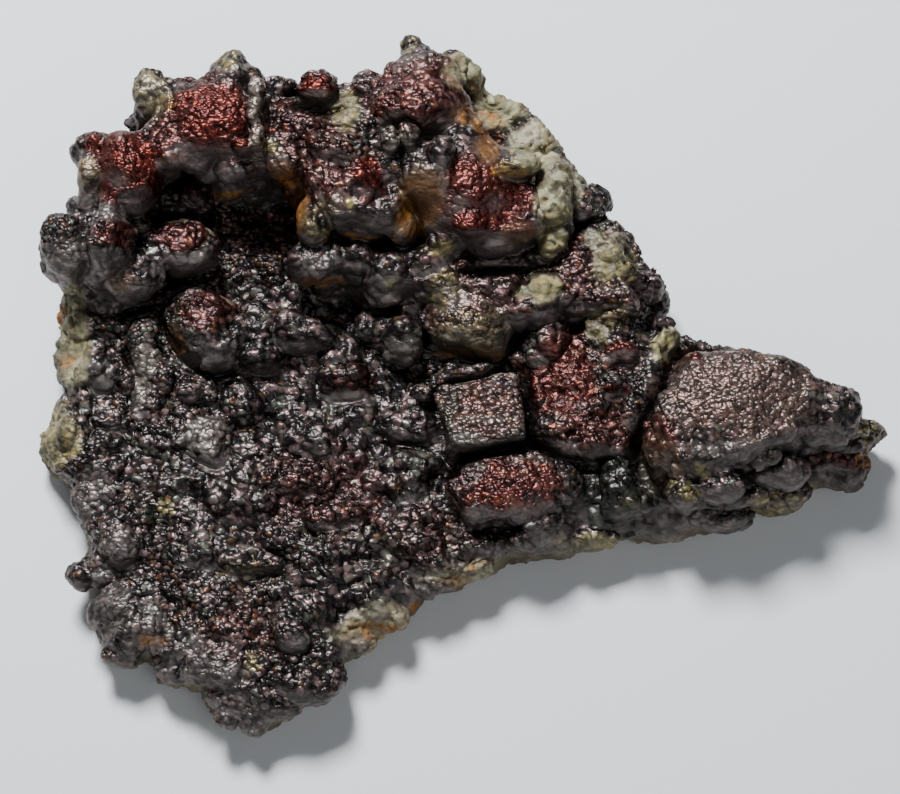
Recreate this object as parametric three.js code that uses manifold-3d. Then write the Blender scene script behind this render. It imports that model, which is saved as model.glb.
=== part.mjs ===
// A hand specimen of botryoidal goethite: one grown mass, lying on its broken underside. A thin slab of
// rock and crust carries a raised shelf of swollen lobes along its back, a stepped middle, a pitted floor
// and a plated tail. Millimetres, +Z up, the origin under the middle of the specimen.
import * as THREE from "three";
import { mergeVertices } from "three/addons/utils/BufferGeometryUtils.js";
import Module from "manifold-3d";

// The specimen is about 165 mm long. Its features are given as points of a reference picture of it, 900
// points wide: a column, a row and a height in millimetres.
const MM_PER_POINT = 0.2;
const PICTURE_CENTRE = { col: 450, row: 397 };
const VIEW_HEIGHT = 15; // the height that the picture's scale holds at
const VIEW_DISTANCE = 620;
const VIEW_ELEVATION = THREE.MathUtils.degToRad(70);

// The slab
const ROUND_OVER = 6; // how far in from the edge the top reaches its full height
const FLOOR_HEIGHT = 13;
const SWELL_HEIGHT = 0.9;
const SWELLS = [
  { length: 20, slow_length: 37, bend: 1.3 },
  { length: 23, slow_length: 48, bend: 1.1 },
];
const GRID_STEP = 5.5;
const TALLEST = 60; // twice the height that the top stays under while it is being shaped
const LARGE_LOBE = 7; // half size from which a lobe has finer facets
const FACET_TOLERANCE = 0.65; // facets stay this close to the lobes
const UNEVEN = 0.06; // how far a lobe's dimples depart from round
const DIMPLES = new THREE.Vector3(4, 3, 2);
const LOBE_PLUMPNESS = 0.9; // half height over the smaller half width
const SAME_CORNER = 1e-4;
const TOUCHING = 0.004;
const DRAWN_BACK = 0.05;
const FURTHEST_FOOT = 5; // how far a lobe's lower half is drawn down to the slab
const OVERHANGING = "lip"; // the area whose lobes aren't drawn down
const ROOTED = 1.5; // how deep a lobe's foot is sunk into the slab

// The slab's edge, clockwise in the picture from the upper left: column, row, height of that edge.
const EDGE = [
  [84, 262, 16], [80, 232, 20], [92, 200, 22], [92, 166, 24], [104, 148, 24], [142, 116, 24],
  [160, 92, 24], [205, 84, 24], [232, 68, 25], [262, 82, 25], [300, 88, 25], [338, 96, 24],
  [380, 86, 24], [402, 56, 22], [440, 60, 20], [475, 77, 18], [500, 91, 16], [522, 107, 15],
  [542, 128, 14], [560, 150, 13], [570, 168, 13], [586, 182, 13], [601, 206, 14], [604, 218, 15],
  [627, 229, 15], [632, 246, 15], [641, 263, 14], [653, 276, 13], [659, 298, 12], [668, 316, 13],
  [680, 331, 13], [702, 339, 17], [745, 345, 22], [772, 352, 22], [796, 363, 21], [816, 379, 19],
  [832, 387, 17], [846, 402, 14], [872, 430, 10], [877, 440, 8], [863, 450, 5], [866, 466, 4],
  [860, 478, 4], [836, 484, 4], [808, 484, 4], [794, 500, 4], [780, 512, 4], [756, 511, 4],
  [738, 526, 4], [714, 527, 4], [688, 536, 4], [655, 537, 4], [618, 537, 4], [598, 543, 4],
  [578, 541, 4], [556, 551, 4], [528, 561, 4], [508, 562, 4], [488, 571, 4], [466, 579, 4],
  [450, 591, 4], [430, 594, 4], [420, 611, 4], [398, 621, 4], [380, 632, 4], [368, 645, 4],
  [342, 662, 4], [344, 675, 4], [334, 688, 4], [310, 695, 4], [284, 716, 4], [266, 728, 4],
  [253, 735, 4], [243, 720, 4], [230, 727, 4], [220, 716, 4], [205, 692, 4], [184, 682, 4],
  [160, 680, 4], [148, 658, 4], [125, 662, 4], [106, 640, 4], [92, 616, 4], [98, 598, 4],
  [108, 588, 4], [86, 583, 4], [80, 566, 4], [90, 548, 5], [87, 534, 5], [92, 517, 5],
  [75, 503, 5], [70, 482, 5], [58, 468, 5], [43, 457, 4], [54, 432, 4], [68, 402, 5],
  [67, 370, 6], [63, 340, 6], [66, 322, 6], [62, 308, 6], [72, 286, 8],
];

// The steps of the top: height, width of the slope up to it, and its outline as column, row.
const TIERS = [
  { top: 32.5, slope: 4, outline: [
    [86, 258], [74, 232], [90, 204], [94, 168], [108, 148], [150, 118], [162, 94], [206, 86],
    [232, 70], [262, 85], [300, 90], [336, 94], [380, 88], [402, 62], [434, 70], [462, 92],
    [486, 122], [512, 160], [540, 180], [545, 226], [520, 238], [470, 238], [436, 222], [412, 200],
    [396, 222], [336, 222], [312, 200], [290, 162], [250, 156], [200, 148], [168, 156], [154, 192],
    [122, 204], [124, 248], [108, 262],
  ] },
  { top: 24, slope: 5, outline: [
    [312, 252], [350, 246], [420, 240], [470, 246], [548, 232], [596, 222], [618, 236], [628, 270],
    [642, 298], [634, 318], [600, 312], [560, 314], [520, 320], [482, 332], [452, 322], [430, 298],
    [392, 286], [352, 266], [322, 268],
  ] },
  { top: 19, slope: 5, outline: [
    [520, 336], [600, 322], [656, 330], [668, 350], [664, 400], [642, 430], [620, 450], [560, 448],
    [532, 430], [526, 380],
  ] },
  { top: 17, slope: 3, outline: [[470, 470], [500, 461], [545, 476], [558, 506], [520, 518], [466, 512]] },
  { top: 25, slope: 4, outline: [
    [664, 400], [686, 348], [702, 342], [740, 343], [796, 356], [828, 380], [850, 404], [844, 430],
    [800, 436],
    [760, 452], [702, 470], [672, 468],
  ] },
  { top: 16, slope: 4, outline: [
    [650, 440], [690, 400], [800, 400], [868, 432], [860, 466], [800, 476], [740, 500], [690, 510],
    [664, 500],
  ] },
];

// The lobes, by area: column, row, top, half width, half length, turn in degrees, half height if it is
// not a little under the smaller half size.
const LOBES = {
  lip: [
    [195, 160, 33, 16, 14], [206, 172, 30, 15, 12], [236, 170, 33, 24, 19], [257, 158, 33, 17, 17],
    [290, 183, 28, 14, 14], [283, 160, 34, 19, 21],
  ],
  left_shelf: [
    [68, 246, 30, 22, 31], [112, 238, 31, 21, 22], [96, 268, 25, 20, 13], [134, 272, 26, 27, 22],
    [90, 170, 33, 15, 18], [98, 193, 30, 21, 17], [130, 168, 36, 33, 35, 0, 7], [125, 196, 32, 27, 19],
    [98, 147, 32, 22, 15], [153, 95, 34, 19, 24], [172, 98, 35, 20, 18], [186, 88, 33, 14, 12],
    [231, 78, 37, 24, 29], [214, 86, 35, 16, 15], [251, 84, 35, 16, 16], [277, 87, 32, 14, 12],
    [318, 89, 35, 20, 20], [215, 120, 38, 46, 38, 0, 7], [259, 93, 38.5, 7, 14],
    [300, 128, 34, 32, 24, 0, 6], [318, 214, 31, 17, 26], [322, 259, 27, 27, 21],
    [180, 244, 25, 41, 23, 8], [176, 204, 22, 24, 16],
  ],
  back_shelf: [
    [415, 61, 33, 17, 15], [425, 80, 36, 33, 25], [378, 89, 33, 26, 15, -15], [342, 115, 34, 13, 15],
    [420, 112, 38, 50, 30, 0, 7], [385, 160, 35, 18, 21], [470, 198, 36, 66, 54, 0, 12],
    [428, 172, 38, 29, 30], [440, 152, 40, 14, 15], [447, 243, 29, 18, 16], [490, 238, 31, 28, 20],
    [470, 224, 34, 15, 13], [522, 226, 33, 18, 16], [516, 166, 37.5, 21, 12, 12, 1.8],
    [552, 190, 33, 18, 32, -8, 3], [556, 226, 28, 11, 17, 0, 1.8], [548, 242, 27, 10, 17, 0, 1.6],
    [575, 206, 25, 24, 18], [360, 180, 35, 23, 22], [330, 178, 33, 19, 20], [340, 150, 36, 32, 19, -10],
    [345, 206, 31, 14, 17], [386, 213, 32, 21, 17], [404, 226, 30, 14, 18], [365, 226, 28, 30, 14],
  ],
  middle_step: [
    [395, 272, 26, 30, 24], [360, 256, 26, 18, 16], [430, 262, 27, 19, 17], [395, 286, 23, 24, 18],
    [413, 305, 20, 14, 14], [444, 288, 25, 18, 19, 20], [454, 306, 22, 15, 13],
    [470, 326, 25, 42, 33, -5, 7], [440, 322, 21, 17, 18], [400, 338, 20, 24, 23, 0, 5],
    [530, 308, 25, 27, 17], [545, 288, 26, 15, 15, 0, 2], [505, 280, 25, 22, 20],
    [605, 240, 24, 24, 17, 0, 4], [620, 279, 24, 20, 11, 0, 3], [642, 288, 20, 14, 15],
    [585, 280, 25, 26, 20, 0, 4], [617, 314, 23, 13, 16], [620, 346, 22, 24, 20, 0, 4],
    [664, 337, 19, 14, 19], [545, 345, 22, 24, 26, 0, 5], [575, 362, 20, 18, 16], [600, 440, 20, 30, 17],
    [560, 430, 20, 20, 20],
  ],
  floor: [
    [106, 295, 17, 24, 20], [110, 325, 15, 35, 16, 5], [103, 372, 17, 24, 23], [140, 345, 18, 12, 24],
    [149, 396, 16, 15, 23], [128, 381, 15, 14, 19], [205, 332, 21, 36, 49, 38], [253, 330, 18, 19, 20],
    [262, 357, 17, 23, 19], [299, 334, 18, 32, 18, -8], [117, 421, 15, 20, 16],
    [108, 447, 14, 20, 14, -20], [214, 445, 17, 20, 26], [194, 436, 15, 16, 24], [238, 410, 15, 30, 20],
    [345, 384, 16, 31, 18, 8], [340, 355, 16, 27, 19], [458, 367, 19, 19, 11], [415, 426, 16, 36, 19],
    [412, 465, 16, 32, 14], [408, 487, 16, 23, 18, -15], [505, 488, 20, 54, 35, 10, 4],
    [530, 525, 15, 35, 24], [563, 484, 17, 19, 22], [615, 482, 18, 16, 24], [624, 505, 16, 23, 16],
    [245, 563, 16, 22, 14], [266, 566, 16, 19, 11], [208, 556, 15, 32, 16], [335, 521, 16, 27, 12],
    [290, 628, 16, 19, 22], [280, 480, 16, 46, 22], [350, 555, 15, 40, 27], [425, 553, 15, 24, 24],
    [240, 510, 15, 38, 19], [320, 440, 16, 30, 24],
  ],
  rim: [
    [90, 468, 13, 28, 16], [92, 500, 13, 22, 20], [124, 547, 16, 18, 16], [90, 571, 10, 13, 14],
    [136, 590, 13, 18, 14], [152, 592, 13, 14, 12], [106, 610, 11, 16, 16], [130, 616, 13, 14, 14],
    [120, 633, 11, 16, 14], [125, 650, 9, 16, 14], [156, 626, 14, 19, 19], [190, 640, 14, 20, 19],
    [172, 665, 10, 18, 15], [215, 669, 14, 35, 16, 4], [236, 700, 11, 16, 15], [254, 716, 10, 15, 18],
    [276, 704, 11, 22, 16], [300, 680, 13, 32, 14, -8], [324, 675, 12, 18, 14],
    [353, 640, 9, 17, 11, -25], [385, 615, 10, 18, 11, -25], [430, 582, 11, 16, 12],
    [470, 566, 10, 24, 11, -15], [590, 535, 10, 24, 9], [80, 440, 10, 20, 16], [78, 345, 10, 12, 34],
  ],
  tail: [
    [738, 397, 27.5, 74, 43, 8, 3.5], [674, 446, 26, 28, 36, 0, 9], [700, 456, 25, 18, 14],
    [735, 450, 25, 16, 12], [762, 455, 23, 17, 12], [716, 478, 22, 28, 17], [682, 488, 20, 20, 18],
    [815, 434, 22, 23, 12], [858, 438, 14, 18, 10], [777, 471, 19, 30, 13], [755, 489, 16, 22, 14],
    [790, 492, 14, 18, 13], [830, 464, 15, 34, 18, 0, 5], [720, 514, 12, 24, 12], [700, 510, 13, 16, 10],
  ],
};

// The square block that stands on the middle of the floor.
const BLOCK = {
  col: 483,
  row: 411,
  top: 21.5,
  half_width: 39,
  half_length: 32,
  height: 10.2,
  turn: -9,
  round: 0.7,
};

// The hollows: column, row, height of the middle, half width, half length, turn, half height.
const HOLLOWS = [
  [248, 206, 22, 50, 24, 0, 9], [345, 284, 20, 27, 10, 0, 5], [448, 356, 17, 30, 9, -10, 5],
  [498, 268, 25, 48, 6, 6, 4], [318, 106, 33, 30, 8, 0, 4], [450, 474, 15, 20, 9, -15, 4],
  [496, 528, 14, 26, 7, 0, 4],
];

const wasm = await Module();
wasm.setup();

// The plan position of a picture point at a given height, by the line of sight through it.
function place(col, row, z) {
  const across = (col - PICTURE_CENTRE.col) * MM_PER_POINT;
  const up = (PICTURE_CENTRE.row - row) * MM_PER_POINT;
  const eye = {
    y: -VIEW_DISTANCE * Math.cos(VIEW_ELEVATION),
    z: VIEW_HEIGHT + VIEW_DISTANCE * Math.sin(VIEW_ELEVATION),
  };
  const sight = {
    y: VIEW_DISTANCE * Math.cos(VIEW_ELEVATION) + up * Math.sin(VIEW_ELEVATION),
    z: -VIEW_DISTANCE * Math.sin(VIEW_ELEVATION) + up * Math.cos(VIEW_ELEVATION),
  };
  const reach = (z - eye.z) / sight.z;
  return new THREE.Vector2(across * reach, eye.y + sight.y * reach);
}

// How far a plan point lies inside an outline, negative outside, and where along it the nearest place is:
// the corner before that place and the share of the way to the next.
function nearestOn(outline, point) {
  let nearest = { depth: Infinity, corner: 0, share: 0 };
  let inside = false;
  outline.forEach((a, i) => {
    const b = outline[(i + 1) % outline.length];
    const along = b.clone().sub(a);
    const from = point.clone().sub(a);
    const share = THREE.MathUtils.clamp(from.dot(along) / along.lengthSq(), 0, 1);
    const depth = from.sub(along.clone().multiplyScalar(share)).length();
    if (depth < nearest.depth) nearest = { depth, corner: i, share };
    const crosses = a.y > point.y !== b.y > point.y;
    if (crosses && point.x < a.x + ((point.y - a.y) / (b.y - a.y)) * (b.x - a.x)) inside = !inside;
  });
  return inside ? nearest : { ...nearest, depth: -nearest.depth };
}

const edge = EDGE.map(([col, row, z]) => place(col, row, z));
const tiers = TIERS.map((tier) => ({
  ...tier,
  outline: tier.outline.map(([col, row]) => place(col, row, tier.top)),
}));

// Slow swells that keep the top from lying flat: two crossed waves, each bent by a slower one.
function swell(x, y) {
  const turn = 2 * Math.PI;
  const wave = (along, across, { length, slow_length, bend }) =>
    (turn * along) / length + bend * Math.sin((turn * across) / slow_length);
  return Math.sin(wave(x, y, SWELLS[0])) * Math.cos(wave(y, x, SWELLS[1]));
}

// The height of the top at a plan point: the floor and the tiers, rounded over down to the edge's height.
function topHeight(x, y) {
  const point = new THREE.Vector2(x, y);
  let height = FLOOR_HEIGHT;
  for (const { top, slope, outline } of tiers) {
    const share = THREE.MathUtils.smoothstep(nearestOn(outline, point).depth, -slope / 2, slope / 2);
    height = Math.max(height, FLOOR_HEIGHT + (top - FLOOR_HEIGHT) * share);
  }
  height += SWELL_HEIGHT * swell(x, y);
  const { depth, corner, share } = nearestOn(edge, point);
  const wall = THREE.MathUtils.lerp(EDGE[corner][2], EDGE[(corner + 1) % EDGE.length][2], share);
  const inwards = THREE.MathUtils.clamp(depth / ROUND_OVER, 0, 1);
  return wall + (height - wall) * Math.sqrt(1 - (1 - inwards) ** 2);
}

// A closed solid from a geometry, its corners merged.
function solidOf(geometry) {
  const bare = geometry.clone();
  for (const name of ["normal", "uv"]) bare.deleteAttribute(name);
  const merged = mergeVertices(bare, SAME_CORNER);
  return new wasm.Manifold(
    new wasm.Mesh({
      numProp: 3,
      vertProperties: merged.attributes.position.array,
      triVerts: new Uint32Array(merged.index.array),
    }),
  );
}

// The slab: a block of ground with the specimen's top, kept within the specimen's edge.
function slab() {
  const box = new THREE.Box2().setFromPoints(edge).expandByScalar(GRID_STEP);
  const size = box.getSize(new THREE.Vector2());
  const middle = box.getCenter(new THREE.Vector2());
  const steps = size.clone().divideScalar(GRID_STEP).ceil();
  const ground = new THREE.BoxGeometry(size.x, size.y, TALLEST, steps.x, steps.y, 1);
  ground.translate(middle.x, middle.y, 0);
  const points = ground.getAttribute("position");
  for (let i = 0; i < points.count; i++)
    if (points.getZ(i) > 0) points.setZ(i, topHeight(points.getX(i), points.getY(i)));
  const wall = new THREE.ExtrudeGeometry(new THREE.Shape(edge), { depth: TALLEST, bevelEnabled: false });
  return solidOf(ground).intersect(solidOf(wall));
}

// An uneven ball drawn out to three half sizes, its lower half drawn down further by `foot`.
function ball([col, row, middle, halfWidth, halfLength, turn, high], footOf) {
  const wide = halfWidth * MM_PER_POINT;
  const long = (halfLength * MM_PER_POINT) / Math.sin(VIEW_ELEVATION);
  const at = place(col, row, middle);
  const foot = footOf(at, high);
  const made = new THREE.IcosahedronGeometry(1, Math.max(wide, long) < LARGE_LOBE ? 1 : 2);
  const points = made.getAttribute("position");
  const point = new THREE.Vector3();
  for (let i = 0; i < points.count; i++) {
    point.fromBufferAttribute(points, i);
    const dimple = point.clone().multiply(DIMPLES);
    point.multiplyScalar(1 + UNEVEN * Math.sin(dimple.x + col) * Math.cos(dimple.y + dimple.z + row));
    if (point.z < 0) point.z *= foot;
    points.setXYZ(i, ...point);
  }
  made.scale(wide, long, high).rotateZ(THREE.MathUtils.degToRad(-turn)).translate(at.x, at.y, middle);
  return solidOf(made);
}

// A lobe, set by its top and rooted in the slab.
function lobe([col, row, top, halfWidth, halfLength, turn = 0, halfHeight], furthestFoot) {
  const high = halfHeight ?? LOBE_PLUMPNESS * Math.min(halfWidth, halfLength) * MM_PER_POINT;
  const middle = top - high;
  return ball([col, row, middle, halfWidth, halfLength, turn, high], (at) =>
    THREE.MathUtils.clamp((middle - topHeight(at.x, at.y) + ROOTED) / high, 1, furthestFoot),
  );
}

// The block, its edges rounded.
function block() {
  const wide = BLOCK.half_width * MM_PER_POINT - BLOCK.round;
  const long = (BLOCK.half_length * MM_PER_POINT) / Math.sin(VIEW_ELEVATION) - BLOCK.round;
  const square = new THREE.Shape([
    new THREE.Vector2(-wide, -long),
    new THREE.Vector2(wide, -long),
    new THREE.Vector2(wide, long),
    new THREE.Vector2(-wide, long),
  ]);
  const made = new THREE.ExtrudeGeometry(square, {
    depth: BLOCK.height,
    bevelSegments: 2,
    bevelSize: BLOCK.round,
    bevelThickness: BLOCK.round,
  });
  const at = place(BLOCK.col, BLOCK.row, BLOCK.top);
  made.rotateZ(THREE.MathUtils.degToRad(-BLOCK.turn));
  made.translate(at.x, at.y, BLOCK.top - BLOCK.height - BLOCK.round);
  return solidOf(made);
}

// The lip's lobes overhang: theirs aren't drawn down.
const lobes = Object.entries(LOBES).flatMap(([area, rows]) =>
  rows.map((row) => lobe(row, area === OVERHANGING ? 1 : FURTHEST_FOOT)),
);
const hollows = HOLLOWS.map((hollow) => ball(hollow, () => 1));
const grown = hollows.reduce(
  (whole, hollow) => whole.subtract(hollow),
  [block(), ...lobes].reduce((whole, piece) => whole.add(piece), slab()),
);

// The outer skin alone: gaps closed in between lobes are solid.
function skinOf(solid) {
  const larger = (first, second) => (second.volume() > first.volume() ? second : first);
  return solid.decompose().reduce(larger);
}

const skin = skinOf(skinOf(grown).asOriginal().simplify(FACET_TOLERANCE));

// Where two corners of the skin only just touch, each is drawn back a little into its own lobe.
function partTouching(skinGeometry) {
  const points = skinGeometry.getAttribute("position");
  const normals = skinGeometry.getAttribute("normal");
  const seen = new Map();
  const cell = (value) => Math.round(value / TOUCHING);
  for (let i = 0; i < points.count; i++) {
    const key = [points.getX(i), points.getY(i), points.getZ(i)].map(cell).join();
    seen.set(key, [...(seen.get(key) ?? []), i]);
  }
  for (const group of seen.values()) {
    if (group.length < 2) continue;
    for (const i of group) {
      const inwards = new THREE.Vector3().fromBufferAttribute(normals, i).multiplyScalar(-DRAWN_BACK);
      points.setXYZ(i, points.getX(i) + inwards.x, points.getY(i) + inwards.y, points.getZ(i) + inwards.z);
    }
  }
}

const { numProp, numVert, vertProperties, triVerts } = skin.getMesh();
const corners = new Float32Array(numVert * 3);
for (let i = 0; i < numVert; i++) corners.set(vertProperties.subarray(i * numProp, i * numProp + 3), i * 3);
const geometry = new THREE.BufferGeometry()
  .setAttribute("position", new THREE.BufferAttribute(corners, 3))
  .setIndex(new THREE.BufferAttribute(triVerts, 1));
geometry.computeVertexNormals();
partTouching(geometry);
geometry.computeBoundingBox();
const centre = geometry.boundingBox.getCenter(new THREE.Vector3());
geometry.translate(-centre.x, -centre.y, 0);

const goethite = new THREE.Mesh(
  geometry,
  new THREE.MeshStandardMaterial({ color: 0x4a2c26, roughness: 0.35, metalness: 0.5 }),
);
goethite.name = "goethite";

const specimen = new THREE.Group();
specimen.add(goethite);
export default specimen;
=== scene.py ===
"""A botryoidal goethite hand specimen on a pale floor.

The specimen is grown as one field of distances: a slab with stepped top, swollen lobes joined to it, and
hollows taken out. Its surface is meshed region by region, then carries lumps and beads as real relief.
"""

import logging
import math
from dataclasses import dataclass, field
from enum import Enum, IntEnum
from typing import Any

import bmesh
import bpy
import numpy as np
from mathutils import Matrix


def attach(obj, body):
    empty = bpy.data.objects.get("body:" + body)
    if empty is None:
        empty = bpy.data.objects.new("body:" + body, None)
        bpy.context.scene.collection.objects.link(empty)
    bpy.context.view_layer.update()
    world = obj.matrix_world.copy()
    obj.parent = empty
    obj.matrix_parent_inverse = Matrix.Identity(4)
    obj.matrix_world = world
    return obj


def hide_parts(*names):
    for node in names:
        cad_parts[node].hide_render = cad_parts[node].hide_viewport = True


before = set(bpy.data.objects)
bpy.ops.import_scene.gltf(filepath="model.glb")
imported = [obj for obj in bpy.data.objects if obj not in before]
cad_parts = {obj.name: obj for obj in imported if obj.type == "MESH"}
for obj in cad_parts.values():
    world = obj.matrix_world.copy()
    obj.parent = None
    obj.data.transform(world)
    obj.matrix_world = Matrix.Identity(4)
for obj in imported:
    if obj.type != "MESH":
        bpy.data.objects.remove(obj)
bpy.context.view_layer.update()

import openvdb

LOG = logging.getLogger("goethite")
NODE = "goethite"
MILLIMETRE = 0.001
ON_FLOOR = 1e-7
VOXEL = 0.42
SEAM = 1.2
SEAM_DIP = 0.1
FIELD_REACH = 1.5  # the field is kept only this far from the surface
WINDOW_MARGIN = 3.0  # how far round a lobe the field is worked out
CELL_MARGIN = 0.08  # how far inside its cell a seed of the noise stays, in cells
OCTAVE_SHIFT = 7.3
OCTAVE_TOTAL = 1.5

# Slab, in millimetres
ROUND_OVER = 6.0
FLOOR_HEIGHT = 13.0
UNDERSIDE = 0.1  # points lower than this lie on the flat underside
SWELL_HEIGHT = 0.9
SWELLS = [(20, 37, 1.3), (23, 48, 1.1)]
EDGE_RAGGED = 0.9
EDGE_RAGGED_SCALE = 5.0
ROOTED = 1.5
JOIN_RADIUS = 1.9
JOIN_SHARE = 0.34
FURTHEST_FOOT = 5.0
OVERHANGING = "lip"
PLUMPNESS = 0.9

# The slab's edge, clockwise in the picture: column, row, height of that edge.
EDGE = [
    (84, 262, 16), (80, 232, 20), (92, 200, 22), (92, 166, 24), (104, 148, 24), (142, 116, 24),
    (160, 92, 24), (205, 84, 24), (232, 68, 25), (262, 82, 25), (300, 88, 25), (338, 96, 24),
    (380, 86, 24), (402, 56, 22), (440, 60, 20), (475, 77, 18), (500, 91, 16), (522, 107, 15),
    (542, 128, 14), (560, 150, 13), (570, 168, 13), (586, 182, 13), (601, 206, 14), (604, 218, 15),
    (627, 229, 15), (632, 246, 15), (641, 263, 14), (653, 276, 13), (659, 298, 12), (668, 316, 13),
    (680, 331, 13), (702, 339, 17), (745, 345, 22), (772, 352, 22), (796, 363, 21), (816, 379, 19),
    (832, 387, 17), (846, 402, 14), (872, 430, 10), (877, 440, 8), (863, 450, 5), (866, 466, 4),
    (860, 478, 4), (836, 484, 4), (808, 484, 4), (794, 500, 4), (780, 512, 4), (756, 511, 4),
    (738, 526, 4), (714, 527, 4), (688, 536, 4), (655, 537, 4), (618, 537, 4), (598, 543, 4),
    (578, 541, 4), (556, 551, 4), (528, 561, 4), (508, 562, 4), (488, 571, 4), (466, 579, 4),
    (450, 591, 4), (430, 594, 4), (420, 611, 4), (398, 621, 4), (380, 632, 4), (368, 645, 4),
    (342, 662, 4), (344, 675, 4), (334, 688, 4), (310, 695, 4), (284, 716, 4), (266, 728, 4),
    (253, 735, 4), (243, 720, 4), (230, 727, 4), (220, 716, 4), (205, 692, 4), (184, 682, 4),
    (160, 680, 4), (148, 658, 4), (125, 662, 4), (106, 640, 4), (92, 616, 4), (98, 598, 4),
    (108, 588, 4), (86, 583, 4), (80, 566, 4), (90, 548, 5), (87, 534, 5), (92, 517, 5),
    (75, 503, 5), (70, 482, 5), (58, 468, 5), (43, 457, 4), (54, 432, 4), (68, 402, 5),
    (67, 370, 6), (63, 340, 6), (66, 322, 6), (62, 308, 6), (72, 286, 8),
]

# The steps of the top: height, width of the slope up to it, and its outline as column, row.
TIERS = [
    (32.5, 4, [
        (86, 258), (74, 232), (90, 204), (94, 168), (108, 148), (150, 118), (162, 94), (206, 86), (232, 70),
        (262, 85), (300, 90), (336, 94), (380, 88), (402, 62), (434, 70), (462, 92), (486, 122), (512, 160),
        (540, 180), (545, 226), (520, 238), (470, 238), (436, 222), (412, 200), (396, 222), (336, 222),
        (312, 200), (290, 162), (250, 156), (200, 148), (168, 156), (154, 192), (122, 204), (124, 248),
        (108, 262),
    ]),
    (24, 5, [
        (312, 252), (350, 246), (420, 240), (470, 246), (548, 232), (596, 222), (618, 236), (628, 270),
        (642, 298), (634, 318), (600, 312), (560, 314), (520, 320), (482, 332), (452, 322), (430, 298),
        (392, 286), (352, 266), (322, 268),
    ]),
    (19, 5, [
        (520, 336), (600, 322), (656, 330), (668, 350), (664, 400), (642, 430), (620, 450), (560, 448),
        (532, 430), (526, 380),
    ]),
    (17, 3, [(470, 470), (500, 461), (545, 476), (558, 506), (520, 518), (466, 512)]),
    (25, 4, [
        (664, 400), (686, 348), (702, 342), (740, 343), (796, 356), (828, 380), (850, 404), (844, 430),
        (800, 436), (760, 452), (702, 470), (672, 468),
    ]),
    (16, 4, [
        (650, 440), (690, 400), (800, 400), (868, 432), (860, 466), (800, 476), (740, 500), (690, 510),
        (664, 500),
    ]),
]

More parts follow.
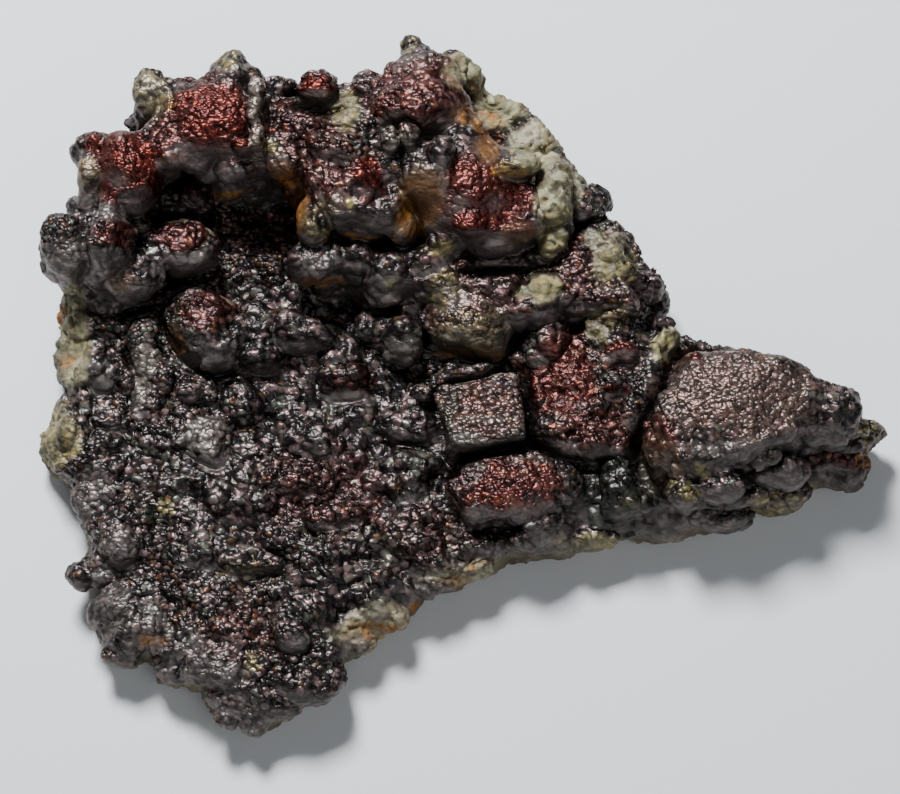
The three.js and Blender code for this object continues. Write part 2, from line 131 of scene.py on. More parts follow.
# The lobes, by area: column, row, top, half width, half length, turn in degrees, half height.
LOBES = {
    "lip": [
        (195, 160, 33, 16, 14), (206, 172, 30, 15, 12), (236, 170, 33, 24, 19), (257, 158, 33, 17, 17),
        (290, 183, 28, 14, 14), (283, 160, 34, 19, 21),
    ],
    "left shelf": [
        (68, 246, 30, 22, 31), (80, 209, 27, 13, 16), (93, 218, 28, 15, 17), (112, 238, 31, 21, 22),
        (96, 268, 25, 20, 13), (134, 272, 26, 27, 22), (142, 287, 21, 12, 10), (90, 170, 33, 15, 18),
        (98, 193, 30, 21, 17), (130, 168, 36, 33, 35, 0, 7), (125, 196, 32, 27, 19), (138, 222, 27, 13, 13),
        (98, 147, 32, 22, 15), (80, 153, 29, 8, 9), (153, 95, 34, 19, 24), (144, 109, 31, 10, 10),
        (172, 98, 35, 20, 18), (186, 88, 33, 14, 12), (231, 78, 37, 24, 29), (214, 86, 35, 16, 15),
        (251, 84, 35, 16, 16), (277, 87, 32, 14, 12), (289, 85, 31, 8, 10), (318, 89, 35, 20, 20),
        (213, 120, 38, 50, 40, 0, 5), (168, 164, 31, 13, 13), (172, 140, 35.2, 28, 27, 0, 3),
        (259, 93, 38.5, 7, 14), (252, 113, 38.5, 7, 13), (256, 136, 38, 7, 11), (241, 145, 38, 11, 7),
        (300, 128, 34, 32, 24, 0, 6), (318, 214, 31, 17, 26), (322, 259, 27, 27, 21),
        (180, 244, 25, 41, 23, 8), (176, 204, 22, 24, 16), (192, 190, 24, 12, 13),
    ],
    "back shelf": [
        (406, 45, 30, 9, 10), (415, 61, 33, 17, 15), (425, 80, 36, 33, 25), (396, 73, 33, 12, 13),
        (378, 89, 33, 26, 15, -15), (346, 98, 31, 13, 13), (342, 115, 34, 13, 15), (455, 67, 31, 13, 13),
        (470, 77, 29, 10, 12, 30), (420, 112, 38, 50, 30, 0, 7), (391, 141, 38, 9, 12),
        (408, 134, 39, 8, 12), (385, 160, 35, 18, 21), (470, 198, 36, 66, 54, 0, 12),
        (428, 172, 38, 29, 30), (440, 152, 40, 14, 15), (447, 243, 29, 18, 16), (490, 238, 31, 28, 20),
        (470, 224, 34, 15, 13), (522, 226, 33, 18, 16), (516, 166, 36.6, 21, 12, 12, 1.8),
        (552, 190, 33, 18, 32, -8, 3), (556, 226, 28, 11, 17, 0, 1.8), (548, 242, 27, 10, 17, 0, 1.6),
        (575, 206, 25, 24, 18), (590, 198, 23, 12, 12), (360, 180, 35, 23, 22), (330, 178, 33, 19, 20),
        (340, 150, 36, 32, 19, -10), (345, 206, 31, 14, 17), (386, 213, 32, 21, 17), (404, 226, 30, 14, 18),
        (365, 226, 28, 30, 14),
    ],
    "middle step": [
        (395, 272, 26, 30, 24), (360, 256, 26, 18, 16), (430, 262, 27, 19, 17), (395, 286, 23, 24, 18),
        (413, 305, 20, 14, 14), (444, 288, 25, 18, 19, 20), (454, 306, 22, 15, 13),
        (470, 326, 25, 42, 33, -5, 7), (440, 322, 21, 17, 18), (400, 338, 20, 24, 23, 0, 5),
        (403, 352, 18, 13, 13), (370, 330, 17, 11, 13), (530, 308, 25, 27, 17),
        (545, 288, 26, 15, 15, 0, 2), (505, 280, 25, 22, 20), (605, 240, 24, 24, 17, 0, 4),
        (609, 256, 25.5, 12, 15, 0, 1.6), (620, 279, 24, 20, 11, 0, 3), (642, 288, 20, 14, 15),
        (585, 280, 25, 26, 20, 0, 4), (617, 314, 23, 13, 16), (600, 326, 21, 11, 11),
        (620, 346, 22, 24, 20, 0, 4), (664, 337, 19, 14, 19), (545, 345, 22, 24, 26, 0, 5),
        (575, 362, 20, 18, 16), (632, 415, 21, 13, 13), (617, 386, 21, 12, 12), (600, 440, 20, 30, 17),
        (560, 430, 20, 20, 20),
    ],
    "floor": [
        (106, 295, 17, 24, 20), (130, 301, 15, 10, 10), (110, 325, 15, 35, 16, 5), (103, 372, 17, 24, 23),
        (95, 352, 16, 11, 11), (140, 345, 18, 9, 20), (146, 367, 17, 11, 15), (160, 376, 17, 10, 11),
        (149, 396, 16, 15, 23), (128, 381, 15, 10, 14), (205, 332, 21, 36, 44, 38), (253, 330, 18, 19, 20),
        (262, 357, 17, 23, 19), (299, 334, 18, 32, 18, -8), (194, 385, 16, 13, 10), (205, 395, 15, 8, 10),
        (117, 421, 15, 20, 16), (108, 447, 14, 20, 14, -20), (214, 445, 17, 20, 26), (194, 436, 15, 16, 24),
        (238, 410, 15, 30, 20), (345, 384, 16, 31, 18, 8), (340, 355, 16, 27, 19), (428, 393, 18, 9, 9),
        (441, 381, 19.5, 10, 9), (458, 372, 20.5, 16, 9), (478, 372, 20.5, 10, 8), (415, 426, 16, 36, 19),
        (412, 465, 16, 32, 14), (408, 487, 16, 23, 18, -15), (434, 468, 15, 9, 8),
        (505, 488, 20, 54, 35, 10, 4), (530, 525, 15, 35, 24), (563, 484, 17, 19, 22),
        (615, 482, 18, 16, 24), (624, 505, 16, 23, 16), (245, 563, 16, 22, 14), (266, 566, 16, 14, 8),
        (208, 556, 15, 32, 16), (335, 521, 16, 27, 12), (290, 628, 16, 19, 22), (280, 480, 16, 46, 22),
        (350, 555, 15, 40, 27), (425, 553, 15, 24, 24), (240, 510, 15, 38, 19), (320, 440, 16, 30, 24),
    ],
    "rim": [
        (90, 468, 13, 28, 16), (92, 500, 13, 22, 20), (124, 547, 16, 18, 16), (90, 571, 10, 13, 14),
        (104, 574, 11, 13, 13), (136, 590, 13, 18, 14), (152, 592, 13, 14, 12), (106, 610, 11, 16, 16),
        (130, 616, 13, 14, 14), (120, 633, 11, 16, 14), (125, 650, 9, 16, 14), (156, 626, 14, 19, 19),
        (190, 640, 14, 20, 19), (172, 665, 10, 18, 15), (215, 669, 14, 35, 16, 4), (236, 700, 11, 16, 15),
        (229, 716, 9, 9, 12), (254, 716, 10, 15, 18), (276, 704, 11, 22, 16), (300, 680, 13, 32, 14, -8),
        (324, 675, 12, 18, 14), (353, 640, 9, 17, 11, -25), (385, 615, 10, 18, 11, -25),
        (430, 582, 11, 16, 12), (470, 566, 10, 24, 11, -15), (590, 535, 10, 24, 9), (80, 440, 10, 20, 16),
        (78, 345, 10, 12, 34),
    ],
    "tail": [
        (738, 397, 27.5, 74, 43, 8, 3.5), (674, 446, 26, 28, 36, 0, 9), (700, 456, 25, 18, 14),
        (735, 450, 25, 16, 12), (762, 455, 23, 17, 12), (716, 478, 22, 28, 17), (682, 488, 20, 20, 18),
        (785, 424, 26, 10, 9), (815, 434, 22, 23, 12), (839, 411, 23.5, 15, 22), (848, 428, 19, 12, 10),
        (858, 438, 14, 18, 10), (777, 471, 19, 30, 13), (755, 489, 16, 22, 14), (790, 492, 14, 18, 13),
        (830, 464, 15, 34, 18, 0, 5), (720, 514, 12, 24, 12), (736, 520, 9, 9, 9), (679, 512, 12, 10, 12),
        (700, 510, 13, 16, 10),
    ],
}

# Thin plates on the surface: column, row, rough height, half width, half length, turn in degrees.
SCALLOPS = [(478, 116, 36, 24, 11, 14), (504, 112, 35, 20, 12, 35), (88, 171, 32, 9, 10, 0)]
SCALLOP_RISE = 0.35
SCALLOP_HALF_HEIGHT = 0.8
SCALLOP_JOIN = 0.35
SCALLOP_POWER = 5.0
ROUND_POWER = 2.0

# The hollows: column, row, height of the middle, half width, half length, turn, half height.
HOLLOWS = [
    (248, 206, 22, 50, 24, 0, 9), (345, 284, 20, 27, 10, 0, 5), (448, 356, 17, 30, 9, -10, 5),
    (498, 268, 25, 48, 6, 6, 4), (318, 106, 33, 30, 8, 0, 4), (450, 474, 15, 20, 9, -15, 4),
    (496, 528, 14, 26, 7, 0, 4),
]

# Where the specimen is cut into regions for meshing: a plan place for each, as column, row.
REGIONS = {
    "left_shelf": (190, 150),
    "back_shelf": (440, 170),
    "floor": (190, 400),
    "front": (270, 600),
    "middle": (520, 400),
    "tail": (740, 420),
}


class Seed(IntEnum):
    """Which random table each kind of unevenness is drawn from."""

    EDGE = 3
    FRONT = 11
    DRIFT = 20
    LUMPS = 31
    CLUSTERS = 35
    KNOBS = 37
    BEADS = 41
    COARSE = 43
    BROKEN = 47
    STAINS = 51
    LAYERS = 61


class Tint(Enum):
    """The stains of the crust, each a vertex attribute of this name; grey is partly painted sheen, green
    partly painted shade.
    """

    RED = "red"
    OCHRE = "ochre"
    OLIVE = "olive"
    PALE = "pale"
    GREEN = "green"
    ROCK = "rock"
    GREY = "grey"
    BROWN = "brown"
    CALM = "calm"


# How a stain's rim frays and fades, in half widths of its spot, and how it fades above the floor in mm.
STAIN_RAGGED = 0.35
STAIN_SCALE = 4.0
STAIN_RIM = (0.65, 1.15)
STAIN_HEIGHT = (0.5, 4.0)

# Smooth flanks face the front, and grey spots count as flank in part; their lighter colour is partly
# painted light.
FLANK_FACING = (0.3, 0.7)
FLANK_UNEVEN = 0.25
FLANK_SCALE = 4.0
GREY_AS_FLANK = 0.55

# The broken walls: steep low sides, and steep faces at the back.
SIDE_STEEPNESS = (0.55, 0.95)
SIDE_HEIGHT = (5.0, 9.0)
BACK_FACING = (0.45, 0.8)
BACK_STEEPNESS = (0.3, 0.7)
BACK_ROCK = 0.65
WALL_CLEAR = 0.8

# The stains: column, row, half width, half length, strength.
STAINS = {
    # Grey spots on the lobes' lower sides: grey-brown crust, partly lightened as painted sheen.
    Tint.GREY: [
        (72, 262, 28, 20, 0.9), (128, 286, 34, 14, 0.8), (180, 262, 38, 11, 0.9), (84, 180, 15, 24, 0.8),
        (110, 212, 42, 9, 0.8), (218, 176, 56, 11, 0.8), (270, 152, 20, 18, 0.7), (322, 264, 28, 13, 0.8),
        (345, 210, 14, 20, 0.8), (470, 350, 44, 13, 0.9), (192, 350, 24, 18, 0.9), (141, 372, 13, 38, 0.8),
        (90, 492, 22, 32, 0.8), (124, 549, 18, 18, 0.9), (108, 604, 26, 42, 0.8), (150, 632, 22, 32, 0.7),
        (215, 671, 38, 15, 0.9), (190, 642, 18, 16, 0.8), (250, 716, 28, 20, 0.7), (402, 348, 16, 14, 0.8),
        (206, 440, 18, 24, 0.7), (98, 302, 26, 14, 0.8), (103, 374, 18, 16, 0.7), (152, 95, 18, 26, 0.7),
        (392, 286, 26, 14, 0.7), (450, 300, 20, 16, 0.7), (500, 245, 40, 14, 0.7), (465, 442, 26, 10, 0.9),
        (735, 448, 60, 10, 0.7), (790, 480, 40, 14, 0.6), (210, 650, 40, 12, 0.5), (230, 60, 20, 16, 0.6),
        (408, 60, 20, 20, 0.5), (350, 400, 30, 8, 0.6), (410, 494, 20, 12, 0.7), (250, 575, 40, 9, 0.7),
        (258, 372, 26, 10, 0.7), (300, 345, 24, 8, 0.6),
    ],
    Tint.BROWN: [
        (418, 200, 28, 42, 1.0), (658, 462, 22, 36, 0.5), (488, 152, 14, 17, 0.7), (302, 212, 9, 26, 0.8),
        (285, 168, 18, 12, 0.6), (176, 340, 10, 16, 0.6), (120, 276, 14, 10, 0.5), (520, 232, 18, 12, 0.6),
    ],
    Tint.CALM: [
        (483, 412, 58, 50, 1.0), (735, 398, 86, 54, 0.7), (510, 490, 54, 36, 0.8), (122, 170, 46, 46, 0.6),
        (215, 122, 54, 54, 0.6), (565, 375, 44, 50, 0.5), (525, 150, 60, 50, 0.6), (418, 200, 24, 36, 0.9),
        (475, 200, 62, 50, 0.6), (470, 326, 42, 32, 0.6),
    ],
    Tint.RED: [
        (128, 164, 46, 42, 0.85), (165, 150, 22, 42, 0.6), (95, 145, 15, 13, 0.8), (112, 235, 19, 18, 0.6),
        (182, 235, 36, 15, 0.6), (210, 122, 52, 50, 0.85), (300, 135, 60, 60, 0.4),
        (340, 180, 55, 40, 0.45), (317, 90, 21, 20, 0.9), (183, 187, 18, 15, 0.6), (367, 172, 20, 20, 0.85),
        (420, 95, 64, 40, 0.6), (480, 285, 100, 46, 0.25), (590, 290, 56, 60, 0.35),
        (480, 200, 62, 48, 0.75), (462, 194, 26, 26, 0.7), (486, 220, 40, 24, 0.6), (470, 224, 36, 16, 0.8),
        (520, 228, 18, 12, 0.7), (490, 140, 12, 10, 0.7), (302, 212, 8, 26, 0.35), (210, 312, 26, 20, 0.5),
        (483, 410, 40, 32, 0.4), (510, 490, 54, 34, 0.65), (565, 372, 42, 50, 0.65),
        (620, 353, 24, 20, 0.85), (672, 362, 12, 10, 0.8), (690, 352, 13, 9, 0.8), (617, 393, 13, 13, 0.6),
        (664, 432, 18, 18, 0.55), (833, 466, 36, 20, 0.45), (595, 430, 50, 30, 0.5),
        (735, 395, 82, 48, 0.35), (350, 383, 28, 16, 0.35), (240, 640, 40, 30, 0.25),
        (430, 530, 60, 30, 0.2), (330, 490, 70, 50, 0.3), (260, 230, 60, 30, 0.3),
    ],
    Tint.OCHRE: [
        (65, 313, 8, 8, 0.9), (72, 360, 7, 9, 0.6), (475, 120, 28, 14, 0.8), (512, 172, 20, 8, 0.75),
        (372, 632, 30, 12, 0.6), (417, 609, 8, 8, 0.9), (473, 562, 9, 7, 0.9), (455, 578, 20, 8, 0.5),
        (360, 237, 40, 4, 0.8), (232, 187, 20, 3, 0.9), (288, 181, 15, 12, 1.0), (300, 204, 8, 22, 0.7),
        (406, 210, 10, 14, 0.9), (422, 232, 13, 13, 1.0), (325, 277, 24, 4, 0.8), (863, 457, 8, 7, 1.0),
        (178, 345, 6, 12, 0.6), (152, 640, 16, 6, 0.6), (470, 352, 40, 6, 0.6), (490, 150, 10, 16, 0.4),
    ],
    Tint.OLIVE: [
        (60, 435, 24, 38, 0.8), (228, 57, 20, 12, 0.8), (270, 145, 12, 8, 0.9), (443, 250, 15, 9, 0.9),
        (560, 215, 10, 9, 0.9), (548, 242, 11, 15, 0.9), (518, 168, 21, 12, 0.7), (444, 292, 17, 18, 0.6),
        (393, 285, 7, 7, 0.9), (355, 205, 7, 7, 0.9), (688, 491, 14, 9, 1.0), (668, 489, 9, 8, 1.0),
        (700, 470, 10, 7, 0.7), (628, 508, 10, 8, 0.9), (168, 508, 9, 8, 0.9), (250, 658, 11, 9, 0.9),
        (82, 345, 8, 9, 0.9), (345, 110, 15, 21, 0.7), (322, 218, 16, 21, 0.5), (155, 95, 21, 26, 0.55),
        (88, 170, 13, 15, 0.5), (545, 290, 15, 15, 0.9), (525, 292, 9, 9, 0.9), (470, 330, 42, 26, 0.4),
        (619, 268, 19, 24, 0.7), (609, 258, 8, 8, 1.0), (617, 315, 10, 16, 0.6), (665, 345, 18, 18, 0.8),
        (600, 333, 8, 6, 0.9), (600, 541, 28, 9, 0.8), (407, 45, 14, 12, 0.7), (775, 502, 30, 12, 0.6),
        (865, 433, 14, 10, 0.6), (240, 572, 26, 12, 0.35),
    ],
    Tint.PALE: [
        (255, 115, 9, 42, 0.8), (142, 368, 10, 36, 0.7), (391, 143, 10, 14, 0.7), (409, 136, 9, 13, 0.6),
        (440, 172, 6, 28, 0.6), (483, 412, 42, 34, 0.2), (483, 419, 36, 4, 0.8), (525, 138, 16, 11, 1.0),
        (355, 643, 12, 8, 1.0), (378, 615, 9, 8, 0.8), (450, 557, 11, 9, 0.9), (424, 580, 9, 7, 0.9),
        (403, 352, 10, 9, 0.6), (615, 294, 18, 5, 0.9), (518, 180, 16, 4, 0.8), (380, 222, 18, 12, 0.4),
        (205, 385, 14, 10, 0.5), (205, 440, 16, 22, 0.4), (380, 557, 26, 22, 0.35), (735, 395, 84, 50, 0.3),
    ],
    # The large spot at 615, 490 is a dark tint of painted shade; the small spots are green patches.
    Tint.GREEN: [
        (150, 515, 9, 9, 0.9), (308, 535, 10, 9, 0.9), (325, 545, 10, 9, 0.8), (690, 336, 20, 14, 0.7),
        (615, 490, 52, 42, 0.8), (190, 350, 18, 24, 0.5), (465, 440, 22, 10, 0.5), (450, 405, 8, 26, 0.5),
        (850, 478, 26, 8, 0.5),
    ],
    Tint.ROCK: [
        (470, 75, 26, 20, 0.9), (500, 104, 30, 24, 1.0), (535, 150, 28, 28, 1.0), (562, 188, 20, 30, 0.7),
        (75, 340, 16, 62, 0.9), (58, 436, 22, 38, 0.5), (382, 630, 50, 26, 0.6), (547, 200, 13, 38, 0.9),
        (548, 240, 12, 20, 0.9), (545, 290, 16, 15, 0.9), (524, 292, 10, 9, 0.7), (610, 262, 18, 24, 0.7),
        (470, 572, 44, 20, 0.5), (600, 542, 60, 9, 0.4), (605, 240, 24, 14, 0.5), (665, 345, 17, 17, 0.6),
        (345, 112, 15, 20, 0.6), (600, 325, 14, 20, 0.5),
    ],
}


def smoothstep(values: np.ndarray, low: float, high: float) -> np.ndarray:
    """Ease from 0 at `low` to 1 at `high`.

    Args:
        values: The numbers to ease.
        low: Where the result leaves 0.
        high: Where the result reaches 1.

    Returns:
        3t^2 - 2t^3 with t the clamped share of the way.
    """
    share = np.clip((values - low) / (high - low), 0.0, 1.0)
    return share * share * (3.0 - 2.0 * share)


def smooth_min(first: np.ndarray, second: np.ndarray, radius: float) -> np.ndarray:
    """The smaller of two fields, with the crease between them rounded.

    Args:
        first: A field of distances.
        second: The other field.
        radius: How near in value the two blend.

    Returns:
        min(a, b) less a quarter of radius times the square of the clamped closeness.
    """
    near = np.clip(1.0 - np.abs(first - second) / radius, 0.0, 1.0)
    return np.minimum(first, second) - 0.25 * radius * near * near


def linear(code: str) -> tuple[float, float, float, float]:
    """A screen colour code as linear light.

    Args:
        code: Six hex digits.

    Returns:
        Red, green, blue and 1.
    """
    parts = [int(code[i : i + 2], 16) / 255 for i in (0, 2, 4)]
    light = [p / 12.92 if p <= 0.04045 else ((p + 0.055) / 1.055) ** 2.4 for p in parts]
    return (light[0], light[1], light[2], 1.0)


@dataclass(frozen=True)
class View:
    """The photograph's view: picture points against millimetres."""

    mm_per_point: float = 0.2
    centre: tuple[float, float] = (450.0, 397.0)
    height: float = 15.0
    distance: float = 620.0
    elevation: float = math.radians(70)
    origin: tuple[float, float] = (1.8905, 2.6345)
    picture_width: float = 900.0

    @property
    def forward(self) -> np.ndarray:
        """The direction of sight."""
        return np.array([0.0, math.cos(self.elevation), -math.sin(self.elevation)])

    @property
    def upward(self) -> np.ndarray:
        """The picture's upward direction."""
        return np.array([0.0, math.sin(self.elevation), math.cos(self.elevation)])

    @property
    def eye(self) -> np.ndarray:
        """Where the picture is seen from, about the picture's centre."""
        return np.array([0.0, 0.0, self.height]) - self.forward * self.distance

    def place(self, col: float, row: float, z: float) -> tuple[float, float]:
        """The plan position of a picture point at a height.

        Args:
            col: The point's column.
            row: Its row.
            z: Its height.

        Returns:
            Its x and y, where the line of sight meets that height.
        """
        across = (col - self.centre[0]) * self.mm_per_point
        up = (self.centre[1] - row) * self.mm_per_point
        sight = self.forward * self.distance + np.array([across, 0.0, 0.0]) + self.upward * up
        reach = (z - self.eye[2]) / sight[2]
        spot = self.eye + sight * reach
        return float(spot[0] - self.origin[0]), float(spot[1] - self.origin[1])

    def spans(self, half_width: float, half_length: float) -> tuple[float, float]:
        """Half sizes in picture points as millimetres across, and up the picture along the ground."""
        return half_width * self.mm_per_point, half_length * self.mm_per_point / math.sin(self.elevation)

    def picture(self, points: np.ndarray) -> tuple[np.ndarray, np.ndarray]:
        """Where points appear in the picture.

        Args:
            points: Rows of x, y, z.

        Returns:
            Their columns and rows, by dividing by the depth along the sight.
        """
        offset = points + np.array([self.origin[0], self.origin[1], 0.0]) - self.eye
        scale = self.distance / (offset @ self.forward) / self.mm_per_point
        return self.centre[0] + offset[:, 0] * scale, self.centre[1] - (offset @ self.upward) * scale


VIEW = View()


@dataclass(frozen=True)
class Noise:
    """Smooth and cellular noise in space, from tables of random numbers that repeat."""

    seed: int
    side: int = 32

    @property
    def table(self) -> np.ndarray:
        """Random numbers from -1 to 1 on a cube of lattice points."""
        return np.random.default_rng(self.seed).uniform(-1, 1, (self.side,) * 3).astype(np.float32)

    def smooth(self, points: np.ndarray, scale: float) -> np.ndarray:
        """Value noise.

        Args:
            points: Rows of x, y, z.
            scale: The lattice spacing.

        Returns:
            From -1 to 1: the eight lattice numbers round a point, eased together.
        """
        table = self.table
        at = points / scale
        low = np.floor(at).astype(np.int64)
        share = at - low
        share = share * share * (3 - 2 * share)
        total = np.zeros(len(points))
        for corner in np.ndindex(2, 2, 2):
            index = (low + np.array(corner)) % self.side
            weight = np.prod(np.where(np.array(corner) == 1, share, 1 - share), axis=1)
            total += weight * table[index[:, 0], index[:, 1], index[:, 2]]
        return total

    def rough(self, points: np.ndarray, scale: float, octaves: int = 3) -> np.ndarray:
        """Several octaves of value noise, each half the scale and strength of the last.

        Args:
            points: Rows of x, y, z.
            scale: The first lattice spacing.
            octaves: How many are added.

        Returns:
            The sum, about from -1 to 1.
        """
        total = np.zeros(len(points))
        for octave in range(octaves):
            total += self.smooth(points + OCTAVE_SHIFT * octave, scale / 2**octave) / 2**octave
        return total / OCTAVE_TOTAL

    def cells(self, points: np.ndarray, scale: float) -> tuple[np.ndarray, np.ndarray]:
        """Cellular noise.

        Args:
            points: Rows of x, y, z.
            scale: The cell size.

        Returns:
            The distance to the nearest seed in cells, and that seed's own number.
        """
        jitter = np.random.default_rng(self.seed).random((self.side,) * 3 + (4,), dtype=np.float32)
        at = (points / scale).astype(np.float32)
        low = np.floor(at).astype(np.int64)
        near = np.full(len(points), np.inf, np.float32)
        own = np.zeros(len(points), np.float32)
        for step in np.ndindex(3, 3, 3):
            cell = low + np.array(step) - 1
            index = cell % self.side
            seed = jitter[index[:, 0], index[:, 1], index[:, 2]]
            place = cell + CELL_MARGIN + (1 - 2 * CELL_MARGIN) * seed[:, :3]
            gap = np.linalg.norm(place - at, axis=1).astype(np.float32)
            closer = gap < near
            own = np.where(closer, seed[:, 3], own)
            near = np.where(closer, gap, near)
        return near, own


@dataclass(frozen=True)
class Outline:
    """A closed line in plan."""

    corners: np.ndarray

    def nearest(self, x: np.ndarray, y: np.ndarray, along: np.ndarray) -> tuple[np.ndarray, np.ndarray]:
        """How far places lie inside, and a number carried along the line, at the nearest point of it.

        Args:
            x: Plan x of the places.
            y: Plan y of the places.
            along: A number for each corner.

        Returns:
            The depth, negative outside, and the number, drawn straight from corner to corner.
        """
        depth = np.full(x.shape, np.inf)
        carried = np.zeros(x.shape)
        inside = np.zeros(x.shape, bool)
        ends = np.roll(self.corners, -1, axis=0)
        for (ax, ay), (bx, by), start, end in zip(self.corners, ends, along, np.roll(along, -1)):
            dx, dy = bx - ax, by - ay
            share = np.clip(((x - ax) * dx + (y - ay) * dy) / (dx * dx + dy * dy), 0, 1)
            gap = np.hypot(x - ax - share * dx, y - ay - share * dy)
            closer = gap < depth
            carried = np.where(closer, start + share * (end - start), carried)
            depth = np.where(closer, gap, depth)
            crosses = (ay > y) != (by > y)
            inside ^= crosses & (x < ax + (y - ay) / (dy if dy else 1.0) * dx)
        return np.where(inside, depth, -depth), carried


@dataclass(frozen=True)
class Ground:
    """The slab: an outline with a height along its edge, and a stepped top."""

    chamfer: float = 1.6

    @property
    def outline(self) -> Outline:
        """The slab's edge in plan."""
        return Outline(np.array([VIEW.place(*corner) for corner in EDGE]))

    def top(self, x: np.ndarray, y: np.ndarray, depth: np.ndarray, wall: np.ndarray) -> np.ndarray:
        """The height of the top: the steps, swelling slowly, rounded over down to the edge.

        Args:
            x: Plan x.
            y: Plan y.
            depth: How far each place lies inside the edge.
            wall: The height of the edge nearest to it.

        Returns:
            Wall plus the rise times the quarter circle of the depth.
        """
        height = np.full(x.shape, FLOOR_HEIGHT)
        for top, slope, points in TIERS:
            tier = Outline(np.array([VIEW.place(col, row, top) for col, row in points]))
            inside, _ = tier.nearest(x, y, np.zeros(len(points)))
            share = smoothstep(inside, -slope / 2, slope / 2)
            height = np.maximum(height, FLOOR_HEIGHT + (top - FLOOR_HEIGHT) * share)
        first, second = (
            math.tau * along / length + bend * np.sin(math.tau * across / slow_length)
            for along, across, (length, slow_length, bend) in zip((x, y), (y, x), SWELLS)
        )
        height = height + SWELL_HEIGHT * np.sin(first) * np.cos(second)
        inwards = np.clip(depth / ROUND_OVER, 0, 1)
        return wall + (height - wall) * np.sqrt(1 - (1 - inwards) ** 2)


@dataclass(frozen=True)
class Ball:
    """An uneven ball with three half sizes, its lower half drawn down by `foot`."""

    x: float
    y: float
    z: float
    wide: float
    long: float
    high: float
    turn: float
    foot: float
    power: float = ROUND_POWER

    def reach(self, margin: float) -> list[tuple[float, float]]:
        """Its box in space, grown by a margin, as low and high for x, y, z."""
        side = max(self.wide, self.long) + margin
        return [
            (self.x - side, self.x + side),
            (self.y - side, self.y + side),
            (self.z - self.high * self.foot - margin, self.z + self.high + margin),
        ]

    def distance(self, x: np.ndarray, y: np.ndarray, z: np.ndarray) -> np.ndarray:
        """About how far points lie outside it.

        Args:
            x: Their x, ready to spread over the grid.
            y: Their y.
            z: Their z.

        Returns:
            k(k - 1) / m, with k the length of the point over the half sizes, m over their squares. With a
            power above 2 the ball is a flat-topped plate, (flat^p + up^p)^(1/p) - 1 by its least half size.
        """
        cos, sin = math.cos(-self.turn), math.sin(-self.turn)
        across = (x - self.x) * cos + (y - self.y) * sin
        along = (y - self.y) * cos - (x - self.x) * sin
        up = z - self.z
        up = np.where(up < 0, up / self.foot, up)
        flat = np.sqrt((across / self.wide) ** 2 + (along / self.long) ** 2)
        if self.power > ROUND_POWER:
            ratio = (flat**self.power + np.abs(up / self.high) ** self.power) ** (1 / self.power)
            return (ratio - 1) * min(self.wide, self.long, self.high)
        ratio = np.sqrt(flat**2 + (up / self.high) ** 2)
        steep = (across / self.wide**2) ** 2 + (along / self.long**2) ** 2 + (up / self.high**2) ** 2
        return ratio * (ratio - 1) / np.maximum(np.sqrt(steep), 1e-6)


